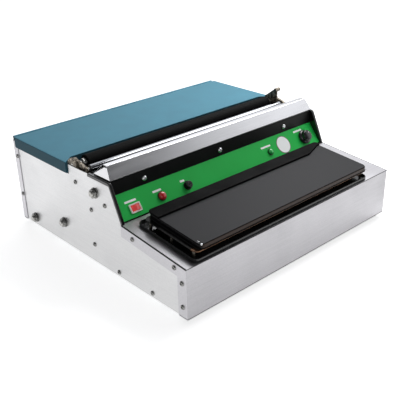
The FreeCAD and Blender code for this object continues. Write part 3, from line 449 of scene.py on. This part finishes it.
# ---- Cross rods and nuts -------------------------------------------------------------------------
# Three 10 mm steel rods run from side to side, with a rolled thread at each end. A washer and a
# chamfered hexagon nut hold each end outside the side plate.
rod_radius = 5.0                  # mm
thread = (1.5, 0.55, 14.0)        # pitch, depth and threaded length, mm
nut_size = (7.36, 4.5, 7.9)       # half across flats, height and radius of the chamfer, mm
washer_size = (9.1, 1.0)          # radius and thickness, mm
nut_twist = 0.9                   # each nut stops this much further round, radians


def threaded_rod(length, centre):
    """A bar along x. Near its ends the radius dips by a triangle wave of the distance along the bar
    less the turn round it, which is a helix; the tips are chamfered."""
    pitch, depth, reach = thread
    half = 0.5 * length
    ends = np.arange(0.0, reach, pitch / 6.0)
    along = np.concatenate([-half + ends, np.linspace(-half + reach, half - reach, 9), (half - ends)[::-1]])
    angle = around(32)
    phase = (along[:, None] / pitch - angle[None, :] / (2.0 * np.pi)) % 1.0
    cut = np.clip((half - np.abs(along) - 0.2) / 0.6, 0, 1) * (np.abs(along) > half - reach)
    radius = rod_radius - depth * np.abs(2.0 * phase - 1.0) * cut[:, None]
    radius = np.minimum(radius, rod_radius - 0.9 + (half - np.abs(along))[:, None])
    body = np.stack([along[:, None] + 0 * radius, radius * np.cos(angle), radius * np.sin(angle)], axis=2)
    caps = [np.repeat(np.array([[[x, 0.0, 0.0]]]), 32, axis=1) for x in (along[0], along[-1])]
    points = np.concatenate([caps[0], body, caps[1]])
    return points.reshape(-1, 3) * mm + np.array(centre), ring_faces(len(points), 32)


def hexagon_nut():
    """Six flats cut from a round bar: the radius is half the flats over the cosine of the angle
    from the nearest flat's middle, and no more than the chamfer allows near each face."""
    flats, height, corner = nut_size
    bore = rod_radius + 0.05
    columns = 96
    angle = around(columns)
    off = (angle + np.pi / 6.0) % (np.pi / 3.0) - np.pi / 6.0
    hexagon = flats / np.cos(off)
    levels = np.array([0.0, 0.35, 0.8, height - 0.8, height - 0.35, height])
    lean = np.array([corner - 0.6, corner, 9.0, 9.0, corner, corner - 0.6])
    outer = np.minimum(hexagon[None, :], lean[:, None])
    radius = np.concatenate([np.full((1, columns), bore), outer, np.full((1, columns), bore)])
    z = np.concatenate([[0.0], levels, [height]])[:, None] + 0 * radius
    points = np.stack([radius * np.cos(angle), radius * np.sin(angle), z], axis=2)
    return points * mm, ring_faces(len(points), columns, closed_rows=True)


def washer():
    """A flat ring with slightly rounded edges."""
    outer, height = washer_size
    profile = [(rod_radius + 0.3, 0.0), (outer - 0.2, 0.0), (outer, 0.25), (outer, height - 0.25),
               (outer - 0.2, height), (rod_radius + 0.3, height)]
    return turned(profile, 64) * mm, ring_faces(6, 64, closed_rows=True)


ground_steel = plated_metal("ground mild steel", "#c9c8c4", "#9d9c98", 0.28)
nut_parts = []
for count, (low, high) in enumerate(solids_of("axle_nuts")):
    side = 1.0 if low[0] > 0 else -1.0
    plate = min(abs(low[0]), abs(high[0]))
    middle = 0.5 * (low + high)
    twist = Vector((0.0, math.sin(nut_twist * count), math.cos(nut_twist * count)))
    for shape, lift in ((washer(), 0.0), (hexagon_nut(), washer_size[1] * mm)):
        place = (side * (plate + lift), middle[1], middle[2])
        nut_parts.append((placed(shape[0], place, (side, 0, 0), twist), shape[1]))
stand_for(mesh_of("nuts_and_washers", nut_parts), plated, "axle_nuts")
for node in ("tie_rod", "front_axle", "rear_axle"):
    low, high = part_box(node)
    bar = mesh_of(node + "_threaded", [threaded_rod((high.x - low.x) / mm, (low + high) / 2)])
    stand_for(bar, ground_steel, node)


# ---- Feet and cable gland ------------------------------------------------------------------------
# Moulded rubber feet pushed through the floor with a barbed stem, and a black nylon gland clamped
# in the rear panel with its nut inside.


def moulded(name, light, dark, roughness, grain, depth, coat=0.0, gloss=0.5):
    """Moulded plastic or rubber: one colour with a faint flow variation about 14 mm across, and a
    moulded skin whose grains are grain metres across and depth metres high. coat is the share of
    a clear gloss layer, and gloss is how strongly the skin itself mirrors."""
    made, tree, shader, place = finish_of(name)
    flow = noise(tree, place, 14.0 * mm)
    skin = noise(tree, place, grain, detail=1.0)
    shader.inputs["Coat Weight"].default_value = coat
    shader.inputs["Specular IOR Level"].default_value = gloss
    shader.inputs["Coat Roughness"].default_value = 0.06
    joined(tree, shader, tones(tree, flow, dark, light),
           spread(tree, skin, roughness - 0.05, roughness + 0.08, 0.3, 0.7), bumped(tree, skin, depth))
    return made


foot_rubber = moulded("black moulded rubber", "#222222", "#191919", 0.72, 0.8 * mm, 0.05 * mm)
gland_nylon = moulded("black nylon", "#1d1d1f", "#151517", 0.45, 0.7 * mm, 0.02 * mm)
softened("feet", foot_rubber, 1.0 * mm)
softened("cable_gland", gland_nylon, 0.6 * mm)


# ---- Transformer, terminal block and thermostat --------------------------------------------------
# Inside the electrical space: a core of stamped steel sheets with a taped winding, a strip of
# screw terminals in white polyamide, and the thermostat's plated housing on the knob's spindle.
wave_scale = 0.314                # scale of a wave texture whose waves are one unit apart


def laminated(name):
    """Stamped core sheets 0.5 mm thick, drawn 1.5 mm thick to show, with blue-black scale."""
    made, tree, shader, place = finish_of(name)
    bands = add(tree, "ShaderNodeTexWave", {"Vector": place, "Scale": wave_scale / (1.5 * mm),
                                            "Distortion": 0.4}, bands_direction="Y")
    scale = noise(tree, place, 6.0 * mm)
    shader.inputs["Metallic"].default_value = 0.7
    joined(tree, shader, mixed(tree, bands.outputs[0], paint("#3d4248"), paint("#6c7176")),
           spread(tree, scale, 0.45, 0.65))
    return made


wear(laminated("stamped core sheets"), "transformer")
wear(moulded("white polyamide", "#e9e7e0", "#dedbd2", 0.42, 0.9 * mm, 0.02 * mm), "terminal_block")
wear(zinc_sheet, "thermostat")
wear(ground_steel, "knob_spindle")


# ---- Film rollers --------------------------------------------------------------------------------
# Two grey tubes lie on the front and the rear axle under the film roll. Each turns on two white
# nylon bushes pressed into its ends.


def extruded_tube(name):
    """Grey extruded tube: fine die lines along x, 0.4 mm apart, drawn 1.2 mm apart to show."""
    made, tree, shader, place = finish_of(name)
    lines = noise(tree, place, 1.2 * mm, (80.0, 1.0, 1.0))
    joined(tree, shader, mixed(tree, lines, paint("#8f9294"), paint("#a6a9ab")),
           spread(tree, lines, 0.35, 0.5), bumped(tree, lines, 0.03 * mm))
    return made


grey_tube = extruded_tube("grey extruded tube")
bush_nylon = moulded("white nylon", "#eceae4", "#dfdcd5", 0.4, 0.8 * mm, 0.02 * mm)
for node in ("front_film_roller", "rear_film_roller"):
    softened(node, grey_tube)
for node in ("front_film_bushes", "rear_film_bushes"):
    softened(node, bush_nylon)


# ---- Shelf bead ----------------------------------------------------------------------------------
# A thin black round bead along the seams between the shelf and the folded flanges draws a dark
# line there. It is heavier along the left seam than along the front fold and the right seam.
shelf_edge_x = 243.4              # mm, to either side
shelf_front = (-237.0, 93.5)      # y and z of the shelf's front fold, mm
shelf_rise = (14.9, 148.95)       # how far it rises over how far back, mm
shelf_slope = math.atan2(*shelf_rise)
bead_ends = (-92.0, -236.4)       # y of the side seams' back and front ends, mm
bead_radii = (1.3, 0.55, 0.35)    # left seam, front fold and right seam, mm


def unit(rows):
    """Each row scaled to length one."""
    return rows / np.linalg.norm(rows, axis=1)[:, None]


def beading(path, radius, sides=12):
    """A round bead along a path. At each point a ring stands square to the mean of the two
    directions that meet there, widened by one over the cosine of half the turn; ends are closed."""
    path = np.array(path, float)
    step = unit(np.diff(path, axis=0))
    after = np.concatenate([step, step[-1:]])
    ahead = unit(np.concatenate([step[:1], step]) + after)
    wide = (radius / (ahead * after).sum(1))[:, None]
    side = unit(np.cross(ahead, (0.0, 0.0, 1.0)))
    rise = np.cross(side, ahead)
    angle = around(sides)[None, :, None]
    rings = (path[:, None] + np.cos(angle) * (side * wide)[:, None]
             + radius * np.sin(angle) * rise[:, None])
    caps = [np.repeat(path[end][None, None], sides, axis=1) for end in (0, -1)]
    points = np.concatenate([caps[0], rings, caps[1]])
    return points * mm, ring_faces(len(points), sides)


def shelf_point(x, y):
    """A point of the shelf's upper face, in millimetres."""
    return (x, y, shelf_front[1] + (y - shelf_front[0]) * math.tan(shelf_slope))


bead_black = moulded("black seam bead", "#161617", "#0e0e0f", 0.4, 0.6 * mm, 0.02 * mm)
seam_paths = ([(-shelf_edge_x, y) for y in bead_ends],
              [(x, shelf_front[0]) for x in (-shelf_edge_x, shelf_edge_x)],
              [(shelf_edge_x, y) for y in reversed(bead_ends)])
seams = [beading([shelf_point(*point) for point in path], radius)
         for path, radius in zip(seam_paths, bead_radii)]
bead = mesh_of("shelf_bead", seams)
bead.data.materials.append(bead_black)
bpy.context.scene.collection.objects.link(bead)
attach(bead, "frame")


# ---- Control panel -------------------------------------------------------------------------------
# One folded sheet, powder coated black: the sloping face, the upright band and the cutter deck.
# Three domed chrome screws fix the band, and a glossy moulded cheek caps each end.
panel_foot = Vector((0.0, -88.3, 108.5)) * mm
panel_tilt = math.radians(52.0)
panel_up = Vector((0.0, math.cos(panel_tilt), math.sin(panel_tilt)))
panel_out = Vector((0.0, -panel_up.z, panel_up.y))
deck_screw = (4.6, 3.3)           # radius and height of the head, mm
deck_twist = 1.1                  # each recess stops this much further round, radians


def powder_coat(name, light, dark, roughness, gloss=0.5, sides=1.0):
    """A baked or thin hard coat: slightly uneven orange-peel skin with waves about 1.8 mm across. gloss is how
    strongly it mirrors, and sides darkens upright faces against level ones as painted shade."""
    made, tree, shader, place = finish_of(name)
    shader.inputs["Specular IOR Level"].default_value = gloss
    peel = noise(tree, place, 1.8 * mm, detail=1.0)
    flow = noise(tree, place, 30.0 * mm)
    tone = tones(tree, flow, dark, light)
    if sides != 1.0:
        # sides makes upright faces darker than level ones: painted shade.
        painted_shade_tone = add(tree, "ShaderNodeHueSaturation", {"Value": sides, "Color": tone}).outputs[0]
        tone = mixed(tree, spread(tree, facing(tree)[2], 0, 1, 0.3, 0.8), painted_shade_tone, tone)
    joined(tree, shader, tone, spread(tree, flow, roughness - 0.04, roughness + 0.06, 0.3, 0.7),
           bumped(tree, peel, 0.05 * mm))
    return made


def seat_of(node, origin, up, out):
    """Middle of a CAD node across x and along up, and its lowest and highest place along out."""
    flat = np.empty(3 * len(nodes[node].data.vertices))
    nodes[node].data.vertices.foreach_get("co", flat)
    span = (flat.reshape(-1, 3) - np.array(origin)) @ np.array([(1.0, 0.0, 0.0), up, out]).T
    low, high = span.min(0), span.max(0)
    return 0.5 * (low[0] + high[0]), 0.5 * (low[1] + high[1]), low[2], high[2]


def panel_point(x, up, out):
    """A point over the sloping face: x across, up along the slope and out from it, metres."""
    return panel_foot + Vector((x, 0, 0)) + panel_up * up + panel_out * out


def on_panel(points, x, up, out):
    """Place a shape drawn about the z axis on the sloping face."""
    return placed(points, panel_point(x, up, out), panel_out, panel_up)


softened("control_panel", powder_coat("black powder coat", "#121213", "#0d0d0e", 0.42, 0.14), fold_radius)
chrome = plated_metal("bright chrome plate", "#ecedef", "#d6d8da", 0.12)
domes = []
for count, (low, high) in enumerate(solids_of("deck_screws")):
    middle = 0.5 * (low + high)
    shape = cross_head(*deck_screw, *screw_shank)
    twist = Vector((math.sin(deck_twist * count), 0.0, math.cos(deck_twist * count)))
    seat = (middle[0], low[1] + deck_screw[1] * mm, middle[2])
    domes.append((placed(shape[0], seat, (0, -1, 0), twist), shape[1]))
stand_for(mesh_of("deck_screw_heads", domes), chrome, "deck_screws")
cheek_gloss = moulded("black gloss ABS", "#161617", "#101011", 0.16, 2.5 * mm, 0.01 * mm, coat=0.5)
for node in ("left_cheek", "right_cheek"):
    softened(node, cheek_gloss, 1.3 * mm)


# ---- Panel label ---------------------------------------------------------------------------------
# Satin polycarbonate film, screen printed green on its back and glued down. Its printed names are
# left out: plain white fields stand where they were, and a plain round plate sits on the right.
print_fields = ((-209.9, 28.6, 22.0), (-156.8, 28.5, 17.2), (-103.3, 28.3, 8.9),
                (101.0, 30.7, 25.0), (194.2, 37.4, 22.7))       # middle x, height up, length, mm
field_size = (3.4, 0.12, 0.7)     # width, thickness and corner radius, mm
ink_sunk = 0.02                   # how deep the ink sits in the film, mm


def printed_film(name, light, dark, roughness):
    """Screen-printed film: an even colour with a velvet skin of grains about 0.9 mm across."""
    made, tree, shader, place = finish_of(name)
    shader.inputs["Specular IOR Level"].default_value = 0.2
    skin = noise(tree, place, 0.9 * mm, detail=1.0)
    cloud = noise(tree, place, 45.0 * mm)
    joined(tree, shader, tones(tree, cloud, dark, light),
           spread(tree, skin, roughness - 0.06, roughness + 0.06, 0.3, 0.7),
           bumped(tree, skin, 0.015 * mm))
    return made


def rounded_pad(length, width, height, corner):
    """A flat pad from four rings: the middle of the foot, the foot's edge, the top's edge and the
    middle of the top. The edge is a rectangle whose corners are quarter circles."""
    quarter = np.linspace(0.0, 0.5 * np.pi, 7)
    turn = np.concatenate([quarter + k * 0.5 * np.pi for k in range(4)])
    sx = np.repeat([1, -1, -1, 1], 7) * (0.5 * length - corner)
    sy = np.repeat([1, 1, -1, -1], 7) * (0.5 * width - corner)
    ring = np.stack([sx + corner * np.cos(turn), sy + corner * np.sin(turn)], axis=1)
    rows = [np.column_stack([ring * size, np.full(len(ring), level)])
            for size, level in ((0.0, 0.0), (1.0, 0.0), (1.0, height), (0.0, height))]
    return np.stack(rows) * mm, ring_faces(len(rows), len(ring))


softened("panel_label", printed_film("green printed polycarbonate film", "#23bb50", "#21b54c", 0.42),
         0.15 * mm)
label_top = seat_of("panel_label", panel_foot, panel_up, panel_out)[3]
white_ink = printed_film("white screen ink", "#ffffff", "#f5f8f5", 0.5)
fields = []
for x, up, length in print_fields:
    pad = rounded_pad(length, *field_size)
    fields.append((on_panel(pad[0], x * mm, up * mm, label_top - ink_sunk * mm), pad[1]))
inked = mesh_of("label_fields", fields)
inked.data.materials.append(white_ink)
bpy.context.scene.collection.objects.link(inked)
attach(inked, "frame")


def ringed_plate(name, face, rim, edge, radius):
    """Round printed plate: pale face, and a ring edge wide by distance from its middle."""
    made, tree, shader, place = finish_of(name)
    x, up, _, high = seat_of("blank_disc", panel_foot, panel_up, panel_out)
    reach = add(tree, "ShaderNodeVectorMath", {0: place, 1: panel_point(x, up, high)},
                operation="DISTANCE").outputs["Value"]
    ring = spread(tree, reach, 0.0, 1.0, radius - edge - 0.3 * mm, radius - edge + 0.3 * mm)
    grain = noise(tree, place, 1.2 * mm)
    joined(tree, shader, mixed(tree, ring, paint(face), paint(rim)), spread(tree, grain, 0.3, 0.42))
    return made


disc_face = ringed_plate("white printed plate", "#f8fbfb", "#6b5a5c", 1.3 * mm, 17.0 * mm)
softened("blank_disc", disc_face, 0.2 * mm)


# ---- Rocker switch -------------------------------------------------------------------------------
# Snap-in switch: white nylon bezel and body, and a red see-through rocker that tips on its pin.


def tinted_lens(name, light, dark, roughness, painted_glow):
    """Dyed clear plastic seen as a deep gloss colour: darker in the thick middle by slow noise,
    clear coat on top, and a faint painted light of its own, though it is not lit."""
    made, tree, shader, place = finish_of(name)
    depth = noise(tree, place, 5.0 * mm)
    shader.inputs["Coat Weight"].default_value = 1.0
    shader.inputs["Coat Roughness"].default_value = 0.04
    # This emission is painted light: the lamps and the rocker are not lit.
    shader.inputs["Emission Color"].default_value = paint(light)
    shader.inputs["Emission Strength"].default_value = painted_glow
    joined(tree, shader, tones(tree, depth, dark, light),
           spread(tree, depth, roughness, roughness + 0.08))
    return made


softened("switch_housing", bush_nylon, 0.5 * mm, sheet_edge=0.6 * mm)
softened("switch_rocker", tinted_lens("red rocker plastic", "#f0524f", "#dc3b3e", 0.2, 0.16), 0.5 * mm,
         sheet_edge=0.6 * mm)


# ---- Pilot lamps ---------------------------------------------------------------------------------
# A ribbed dome of dyed acrylic in a black threaded holder: red for power, green for the plate.
rib_count = 24


def ribbed_dome(radius, height):
    """A short cylinder under a dome: at a rise of the sine of a turn, the radius is the cosine of
    the turn to the power 0.7. Ribs swell it by 3 percent as the cosine of rib_count times the
    angle, fading out over the crown."""
    rise = np.sin(np.linspace(0.0, 0.5 * np.pi, 16))
    crown = [(radius * math.sqrt(max(1.0 - r * r, 0.0)) ** 0.7, height * (0.35 + 0.65 * r)) for r in rise]
    profile = [(0.0, 0.0), (radius, 0.0)] + crown
    fade = lambda angle, z: 1.0 + 0.03 * np.cos(rib_count * angle) * np.clip(1.2 - z / height, 0, 1)
    points = turned(profile, 96, fade)
    return points * mm, ring_faces(len(points), 96)


lamp_holder = moulded("black phenolic", "#1b1b1c", "#121213", 0.3, 0.7 * mm, 0.01 * mm)
for colour, light, dark in (("red", "#cf2029", "#96121a"), ("green", "#22c45c", "#129a40")):
    softened(colour + "_lamp_holder", lamp_holder, 0.35 * mm, sheet_edge=0.6 * mm)
    x, up, low, high = seat_of(colour + "_lamp_lens", panel_foot, panel_up, panel_out)
    low_box, high_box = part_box(colour + "_lamp_lens")
    dome = ribbed_dome(0.5 * (high_box.x - low_box.x) / mm, (high - low) / mm)
    lens = mesh_of(colour + "_lamp_dome", [(on_panel(dome[0], x, up, low), dome[1])], 50.0)
    stand_for(lens, tinted_lens(colour + " acrylic lens", light, dark, 0.08, 0.05), colour + "_lamp_lens")


# ---- Fuse holder ---------------------------------------------------------------------------------
# Black phenolic holder; its cap has a knurled rim and a coin slot, and comes off by a quarter turn.
fuse_cap_size = (6.15, 7.0)       # radius and height over the holder, mm
fuse_spigot = (3.5, 4.3)          # radius and depth of the part inside the holder, mm
fuse_slot = (0.75, 1.3)           # half width and depth, mm
fuse_ridges = 30


def slotted_cap():
    """A turned cap on its spigot. Ridges ripple the rim by 2 percent as the cosine of fuse_ridges
    times the angle, the top edge is rounded, and the top is cut down inside the slot."""
    radius, height = fuse_cap_size
    bend = np.linspace(0.0, 0.5 * np.pi, 7)
    rim = [(radius - 1.0 + math.cos(b), height - 1.0 + math.sin(b)) for b in bend]
    crown = [(r, height) for r in np.linspace(radius - 1.3, 0.0, 14)]
    profile = [(0.0, -fuse_spigot[1]), (fuse_spigot[0], -fuse_spigot[1]), (fuse_spigot[0], 0.0),
               (radius - 0.3, 0.0), (radius, 0.4)] + rim + crown
    ridge = lambda angle, z: 1.0 + 0.02 * np.cos(fuse_ridges * angle) * ((z > 0.3) & (z < height - 0.9))
    points = turned(profile, 120, ridge)
    inside = (np.abs(points[..., 1]) < fuse_slot[0]) & (points[..., 2] > height - 1.2)
    points[..., 2] = np.where(inside, height - fuse_slot[1], points[..., 2])
    return points * mm, ring_faces(len(points), 120)


softened("fuse_holder", lamp_holder, 0.35 * mm, sheet_edge=0.6 * mm)
x, up, _, high = seat_of("fuse_cap", panel_foot, panel_up, panel_out)
cap = slotted_cap()
fuse_top = mesh_of("fuse_cap_knurled", [(on_panel(cap[0], x, up, high - fuse_cap_size[1] * mm), cap[1])])
stand_for(fuse_top, lamp_holder, "fuse_cap")


# ---- Temperature knob ----------------------------------------------------------------------------
# Moulded black phenolic knob with a wide skirt and a fluted grip, pushed on the thermostat's
# spindle. A white pointer line is filled into a groove on top of the grip.
knob_size = (14.1, 12.5)          # radius and height, mm
knob_flutes = 12
line_size = (5.0, 1.0, 0.5, 0.4)  # length, width, thickness and corner radius, mm
line_out = 4.6                    # its middle from the knob's axis, mm
line_sunk = 0.75                  # its foot below the knob's top, mm
line_turn = (0.66, 0.75)          # its direction, to the right and up the slope


def fluted_knob():
    """A skirt that slopes in to a fluted grip with a domed top. Flutes draw the grip in by
    7 percent, as the cube of half one plus the cosine of knob_flutes times the angle."""
    radius, height = knob_size
    bend = np.linspace(0.0, 0.5 * np.pi, 7)
    skirt = [(0.0, 0.0), (radius - 0.5, 0.0), (radius, 0.6), (radius - 0.6, 3.2), (radius - 1.4, 4.3),
             (radius - 2.5, 4.8)]
    grip = [(radius - 3.1, 5.3), (radius - 3.4, 6.2), (radius - 3.7, 7.6), (radius - 4.0, height - 2.4)]
    top = [(radius - 5.9 + 1.9 * math.cos(b), height - 2.4 + 1.6 * math.sin(b)) for b in bend]
    crown = [(r, height - 0.8 + 0.8 * (1.0 - (r / 8.2) ** 2)) for r in np.linspace(radius - 6.5, 0.0, 10)]
    cut = lambda angle, z: 1.0 - 0.07 * (0.5 + 0.5 * np.cos(knob_flutes * angle)) ** 3 * np.clip(
        (z - 5.2) / 1.5, 0, 1) * np.clip((height - 0.9 - z) / 1.0, 0, 1)
    points = turned(skirt + grip + top + crown, 144, cut)
    return points * mm, ring_faces(len(points), 144)


x, up, low, _ = seat_of("temperature_knob", panel_foot, panel_up, panel_out)
grip = fluted_knob()
knob = mesh_of("knob_fluted", [(on_panel(grip[0], x, up, low), grip[1])])
stand_for(knob, moulded("black gloss phenolic", "#18181a", "#101012", 0.18, 1.8 * mm, 0.01 * mm, coat=0.4),
          "temperature_knob")
line = rounded_pad(*line_size)
right, upward = line_turn
line_middle = (panel_point(x, up, low + (knob_size[1] - line_sunk) * mm)
               + (panel_up * upward + Vector((right, 0, 0))) * line_out * mm)
line_across = panel_up * right + Vector((-upward, 0, 0))
mark = mesh_of("knob_line", [(placed(line[0], line_middle, panel_out, line_across), line[1])])
mark.data.materials.append(white_ink)
bpy.context.scene.collection.objects.link(mark)
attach(mark, "knob")


# ---- Hot plate -----------------------------------------------------------------------------------
# A pressed tray in black enamel holds six plated posts. On them lie the pan, the heater between mica
# and board, and the aluminium plate under a grey coated glass cloth, clamped by a black strip.
weave_drawn = 1.6                 # mm between threads, drawn coarser than the real 0.5 to show
tinted_to = -0.224                # the pan is brown in front of this y, metres
cover_foot = Vector((0.0, -237.25, 93.6)) * mm      # from here the screws' places are measured
corner_screw = (1.9, 0.9, 1.0, 2.0)                 # head radius and height, shank radius and length
corner_places = ((4.2, 9.0), (4.2, 15.4))           # in from the left edge, back up the slope, mm


def enamelled(name, light, dark, roughness):
    """Vitreous enamel: deep gloss, gently wavy over about 12 mm, with a few dull heat marks."""
    made, tree, shader, place = finish_of(name)
    wave = noise(tree, place, 12.0 * mm, detail=1.0)
    marks = noise(tree, place, 28.0 * mm, detail=3.0)
    shader.inputs["Coat Weight"].default_value = 0.25
    shader.inputs["Coat Roughness"].default_value = 0.05
    shader.inputs["Specular IOR Level"].default_value = 0.3
    joined(tree, shader, tones(tree, marks, dark, light, 0.35, 0.65),
           spread(tree, marks, roughness - 0.05, roughness + 0.12, 0.35, 0.65),
           bumped(tree, wave, 0.05 * mm))
    return made


def coated_cloth(name, light, dark, edge, scorched):
    """PTFE-coated glass cloth: plain weave, as two sine waves across each other multiplied. It is
    grey where it lies flat, nearly black where it is drawn tight over the edges, and scorched brown
    down the front. Stains about 60 mm across darken it."""
    made, tree, shader, place = finish_of(name)
    shader.inputs["Specular IOR Level"].default_value = 0.12
    waves = []
    for axis in ("X", "Y"):
        wave = add(tree, "ShaderNodeTexWave", {"Vector": place, "Scale": wave_scale / (weave_drawn * mm)},
                   bands_direction=axis)
        waves.append(wave.outputs[1])
    weave = add(tree, "ShaderNodeMath", {0: waves[0], 1: waves[1]}, operation="MULTIPLY").outputs[0]
    _, forward, upward = facing(tree)
    flat = spread(tree, upward, 0.0, 1.0, 0.80, 0.97)
    browned = mixed(tree, spread(tree, forward, 1.0, 0.0, -0.98, -0.80), paint(edge), paint(scorched))
    stain = spread(tree, noise(tree, place, 60.0 * mm), 0.0, 0.35, 0.3, 0.7)
    aged = mixed(tree, stain, mixed(tree, weave, paint(dark), paint(light)), paint(dark))
    joined(tree, shader, mixed(tree, flat, browned, aged), spread(tree, flat, 0.24, 0.56),
           bumped(tree, weave, 0.02 * mm))
    return made


def heat_tinted(name):
    """Steel that has been hot: brown oxide along the front, with darker patches about 20 mm
    across, and near black behind."""
    made, tree, shader, place = finish_of(name)
    patch = noise(tree, place, 20.0 * mm, (3.0, 1.0, 1.0), 3.0)
    shader.inputs["Metallic"].default_value = 0.85
    tint = tones(tree, patch, "#4d3b30", "#8a6549", 0.35, 0.65)
    from_front = add(tree, "ShaderNodeSeparateXYZ", {0: place}).outputs[1]
    near_black_behind = spread(tree, from_front, 0.0, 1.0, tinted_to, tinted_to + 4.0 * mm)
    joined(tree, shader, mixed(tree, near_black_behind, tint, paint("#121212")),
           spread(tree, patch, 0.28, 0.45, 0.3, 0.7))
    return made


softened("hot_plate_tray", enamelled("black vitreous enamel", "#1e2020", "#151616", 0.2), 0.9 * mm,
         sheet_edge=1.0 * mm)
softened("hot_plate_posts", plated_metal("tarnished nickel plate", "#8f8a7f", "#5f5b53", 0.3), 0.4 * mm)
softened("heater_pan", heat_tinted("heat-tinted steel"), 0.4 * mm)
ground_plate = satin_steel("ground aluminium plate", "#d2d4d6", "#c2c4c7", (40.0, 1.0, 1.0))
softened("heating_plate", ground_plate, 1.0 * mm)
cover_cloth = coated_cloth("coated glass cloth", "#343436", "#303032", "#070708", "#2d2018")
softened("plate_cover", cover_cloth, 2.0 * mm, sheet_edge=1.0 * mm, steps=4)
wear(moulded("pressed mica board", "#a89778", "#93825f", 0.55, 2.0 * mm, 0.03 * mm), "heater_element")
wear(moulded("ceramic fibre board", "#ddd8cc", "#cdc7b8", 0.85, 1.6 * mm, 0.08 * mm), "insulation_board")
softened("rear_strip", powder_coat("black anodised strip", "#060707", "#040405", 0.55, 0.03), 0.8 * mm)

shelf_up = Vector((0.0, math.cos(shelf_slope), math.sin(shelf_slope)))
shelf_out = Vector((0.0, -shelf_up.z, shelf_up.y))
cover_top = seat_of("plate_cover", cover_foot, shelf_up, shelf_out)[3]
cover_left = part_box("plate_cover")[0].x
small = cross_head(*corner_screw)
corner_screws = []
for inward, backward in corner_places:
    spot = (cover_foot + Vector((cover_left + inward * mm, 0, 0)) + shelf_up * backward * mm
            + shelf_out * (cover_top - 0.05 * mm))
    corner_screws.append((placed(small[0], spot, shelf_out, shelf_up), small[1]))
pins = mesh_of("cover_corner_screws", corner_screws)
pins.data.materials.append(chrome)
bpy.context.scene.collection.objects.link(pins)
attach(pins, "frame")


# ---- Film cutter ---------------------------------------------------------------------------------
# A folded bar of polished stainless, hot along its ridge, stands on an insulating strip. The rod
# that heats it is inside.


def polished_steel(name, light, dark, roughness):
    """Ground and polished metal: very fine lines along x, drawn 0.8 mm apart to show, and wipe
    marks about 24 mm across."""
    made, tree, shader, place = finish_of(name)
    lines = noise(tree, place, 0.8 * mm, (150.0, 1.0, 1.0), 2.0)
    wipes = noise(tree, place, 24.0 * mm, (5.0, 1.0, 1.0), 2.0)
    shader.inputs["Metallic"].default_value = 1.0
    joined(tree, shader, mixed(tree, lines, paint(dark), paint(light)),
           spread(tree, wipes, roughness - 0.03, roughness + 0.07, 0.3, 0.7),
           bumped(tree, lines, 0.004 * mm))
    return made


softened("cutter_bar", polished_steel("polished stainless bar", "#f0f0f2", "#e2e2e5", 0.2), 0.7 * mm)
softened("cutter_strip", lamp_holder, 0.3 * mm)
wear(ground_steel, "cutter_rod")


# ---- Upper rollers -------------------------------------------------------------------------------
# A chrome guide roller turns on a spindle between two swing arms; behind it a rubber-covered roller
# turns in two brackets. Brackets, arms and the finger tab are steel with a dull yellow zinc plate.


def dull_zinc(name):
    """Old yellow passivated zinc: grey-brown film, smoother where it is rubbed. Its brighter spots
    about 4 mm across are partly the film's own mottle and partly painted highlights."""
    made, tree, shader, place = finish_of(name)
    film = noise(tree, place, 4.0 * mm, detail=3.0)
    rub = noise(tree, place, 11.0 * mm)
    shader.inputs["Metallic"].default_value = 0.65
    # The light tone gives the brighter spots: painted highlights over the zinc film's own mottle.
    joined(tree, shader, tones(tree, film, "#4a433b", "#b0a695", 0.4, 0.66),
           spread(tree, rub, 0.28, 0.55, 0.3, 0.7), bumped(tree, film, 0.03 * mm))
    return made


arm_zinc = dull_zinc("dull yellow zinc plate")
for node in ("left_bracket", "right_bracket", "left_arm", "right_arm"):
    softened(node, arm_zinc, 0.6 * mm)
softened("finger_tab", arm_zinc, 0.5 * mm)
softened("white_roller", polished_steel("chrome-plated roller", "#989a9e", "#8c8d91", 0.1), 0.6 * mm)
roller_rubber = moulded("black nitrile rubber", "#090909", "#060607", 0.6, 1.0 * mm, 0.03 * mm, gloss=0.06)
softened("black_roller", roller_rubber, 0.6 * mm)
wear(ground_steel, "white_roller_spindle", "black_roller_shaft")


# ---- Lid and hinge -------------------------------------------------------------------------------
# One folded sheet in blue-grey enamel paint with skirts at the sides and round the front corners. A
# piano hinge along the back, painted with it, lets it swing up; shut, it rests on the side plates.
# sides 0.28 paints the lid's upright skirts darker than its top: painted shade.
lid_enamel = powder_coat("blue-grey stoving enamel", "#5e95a9", "#598fa3", 0.38, 0.04, 0.28)
softened("lid", lid_enamel, fold_radius)
for node in ("lid_hinge_leaf", "rear_hinge_leaf"):
    softened(node, lid_enamel, 0.3 * mm, sheet_edge=1.2 * mm)
wear(ground_steel, "hinge_pin")

low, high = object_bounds()
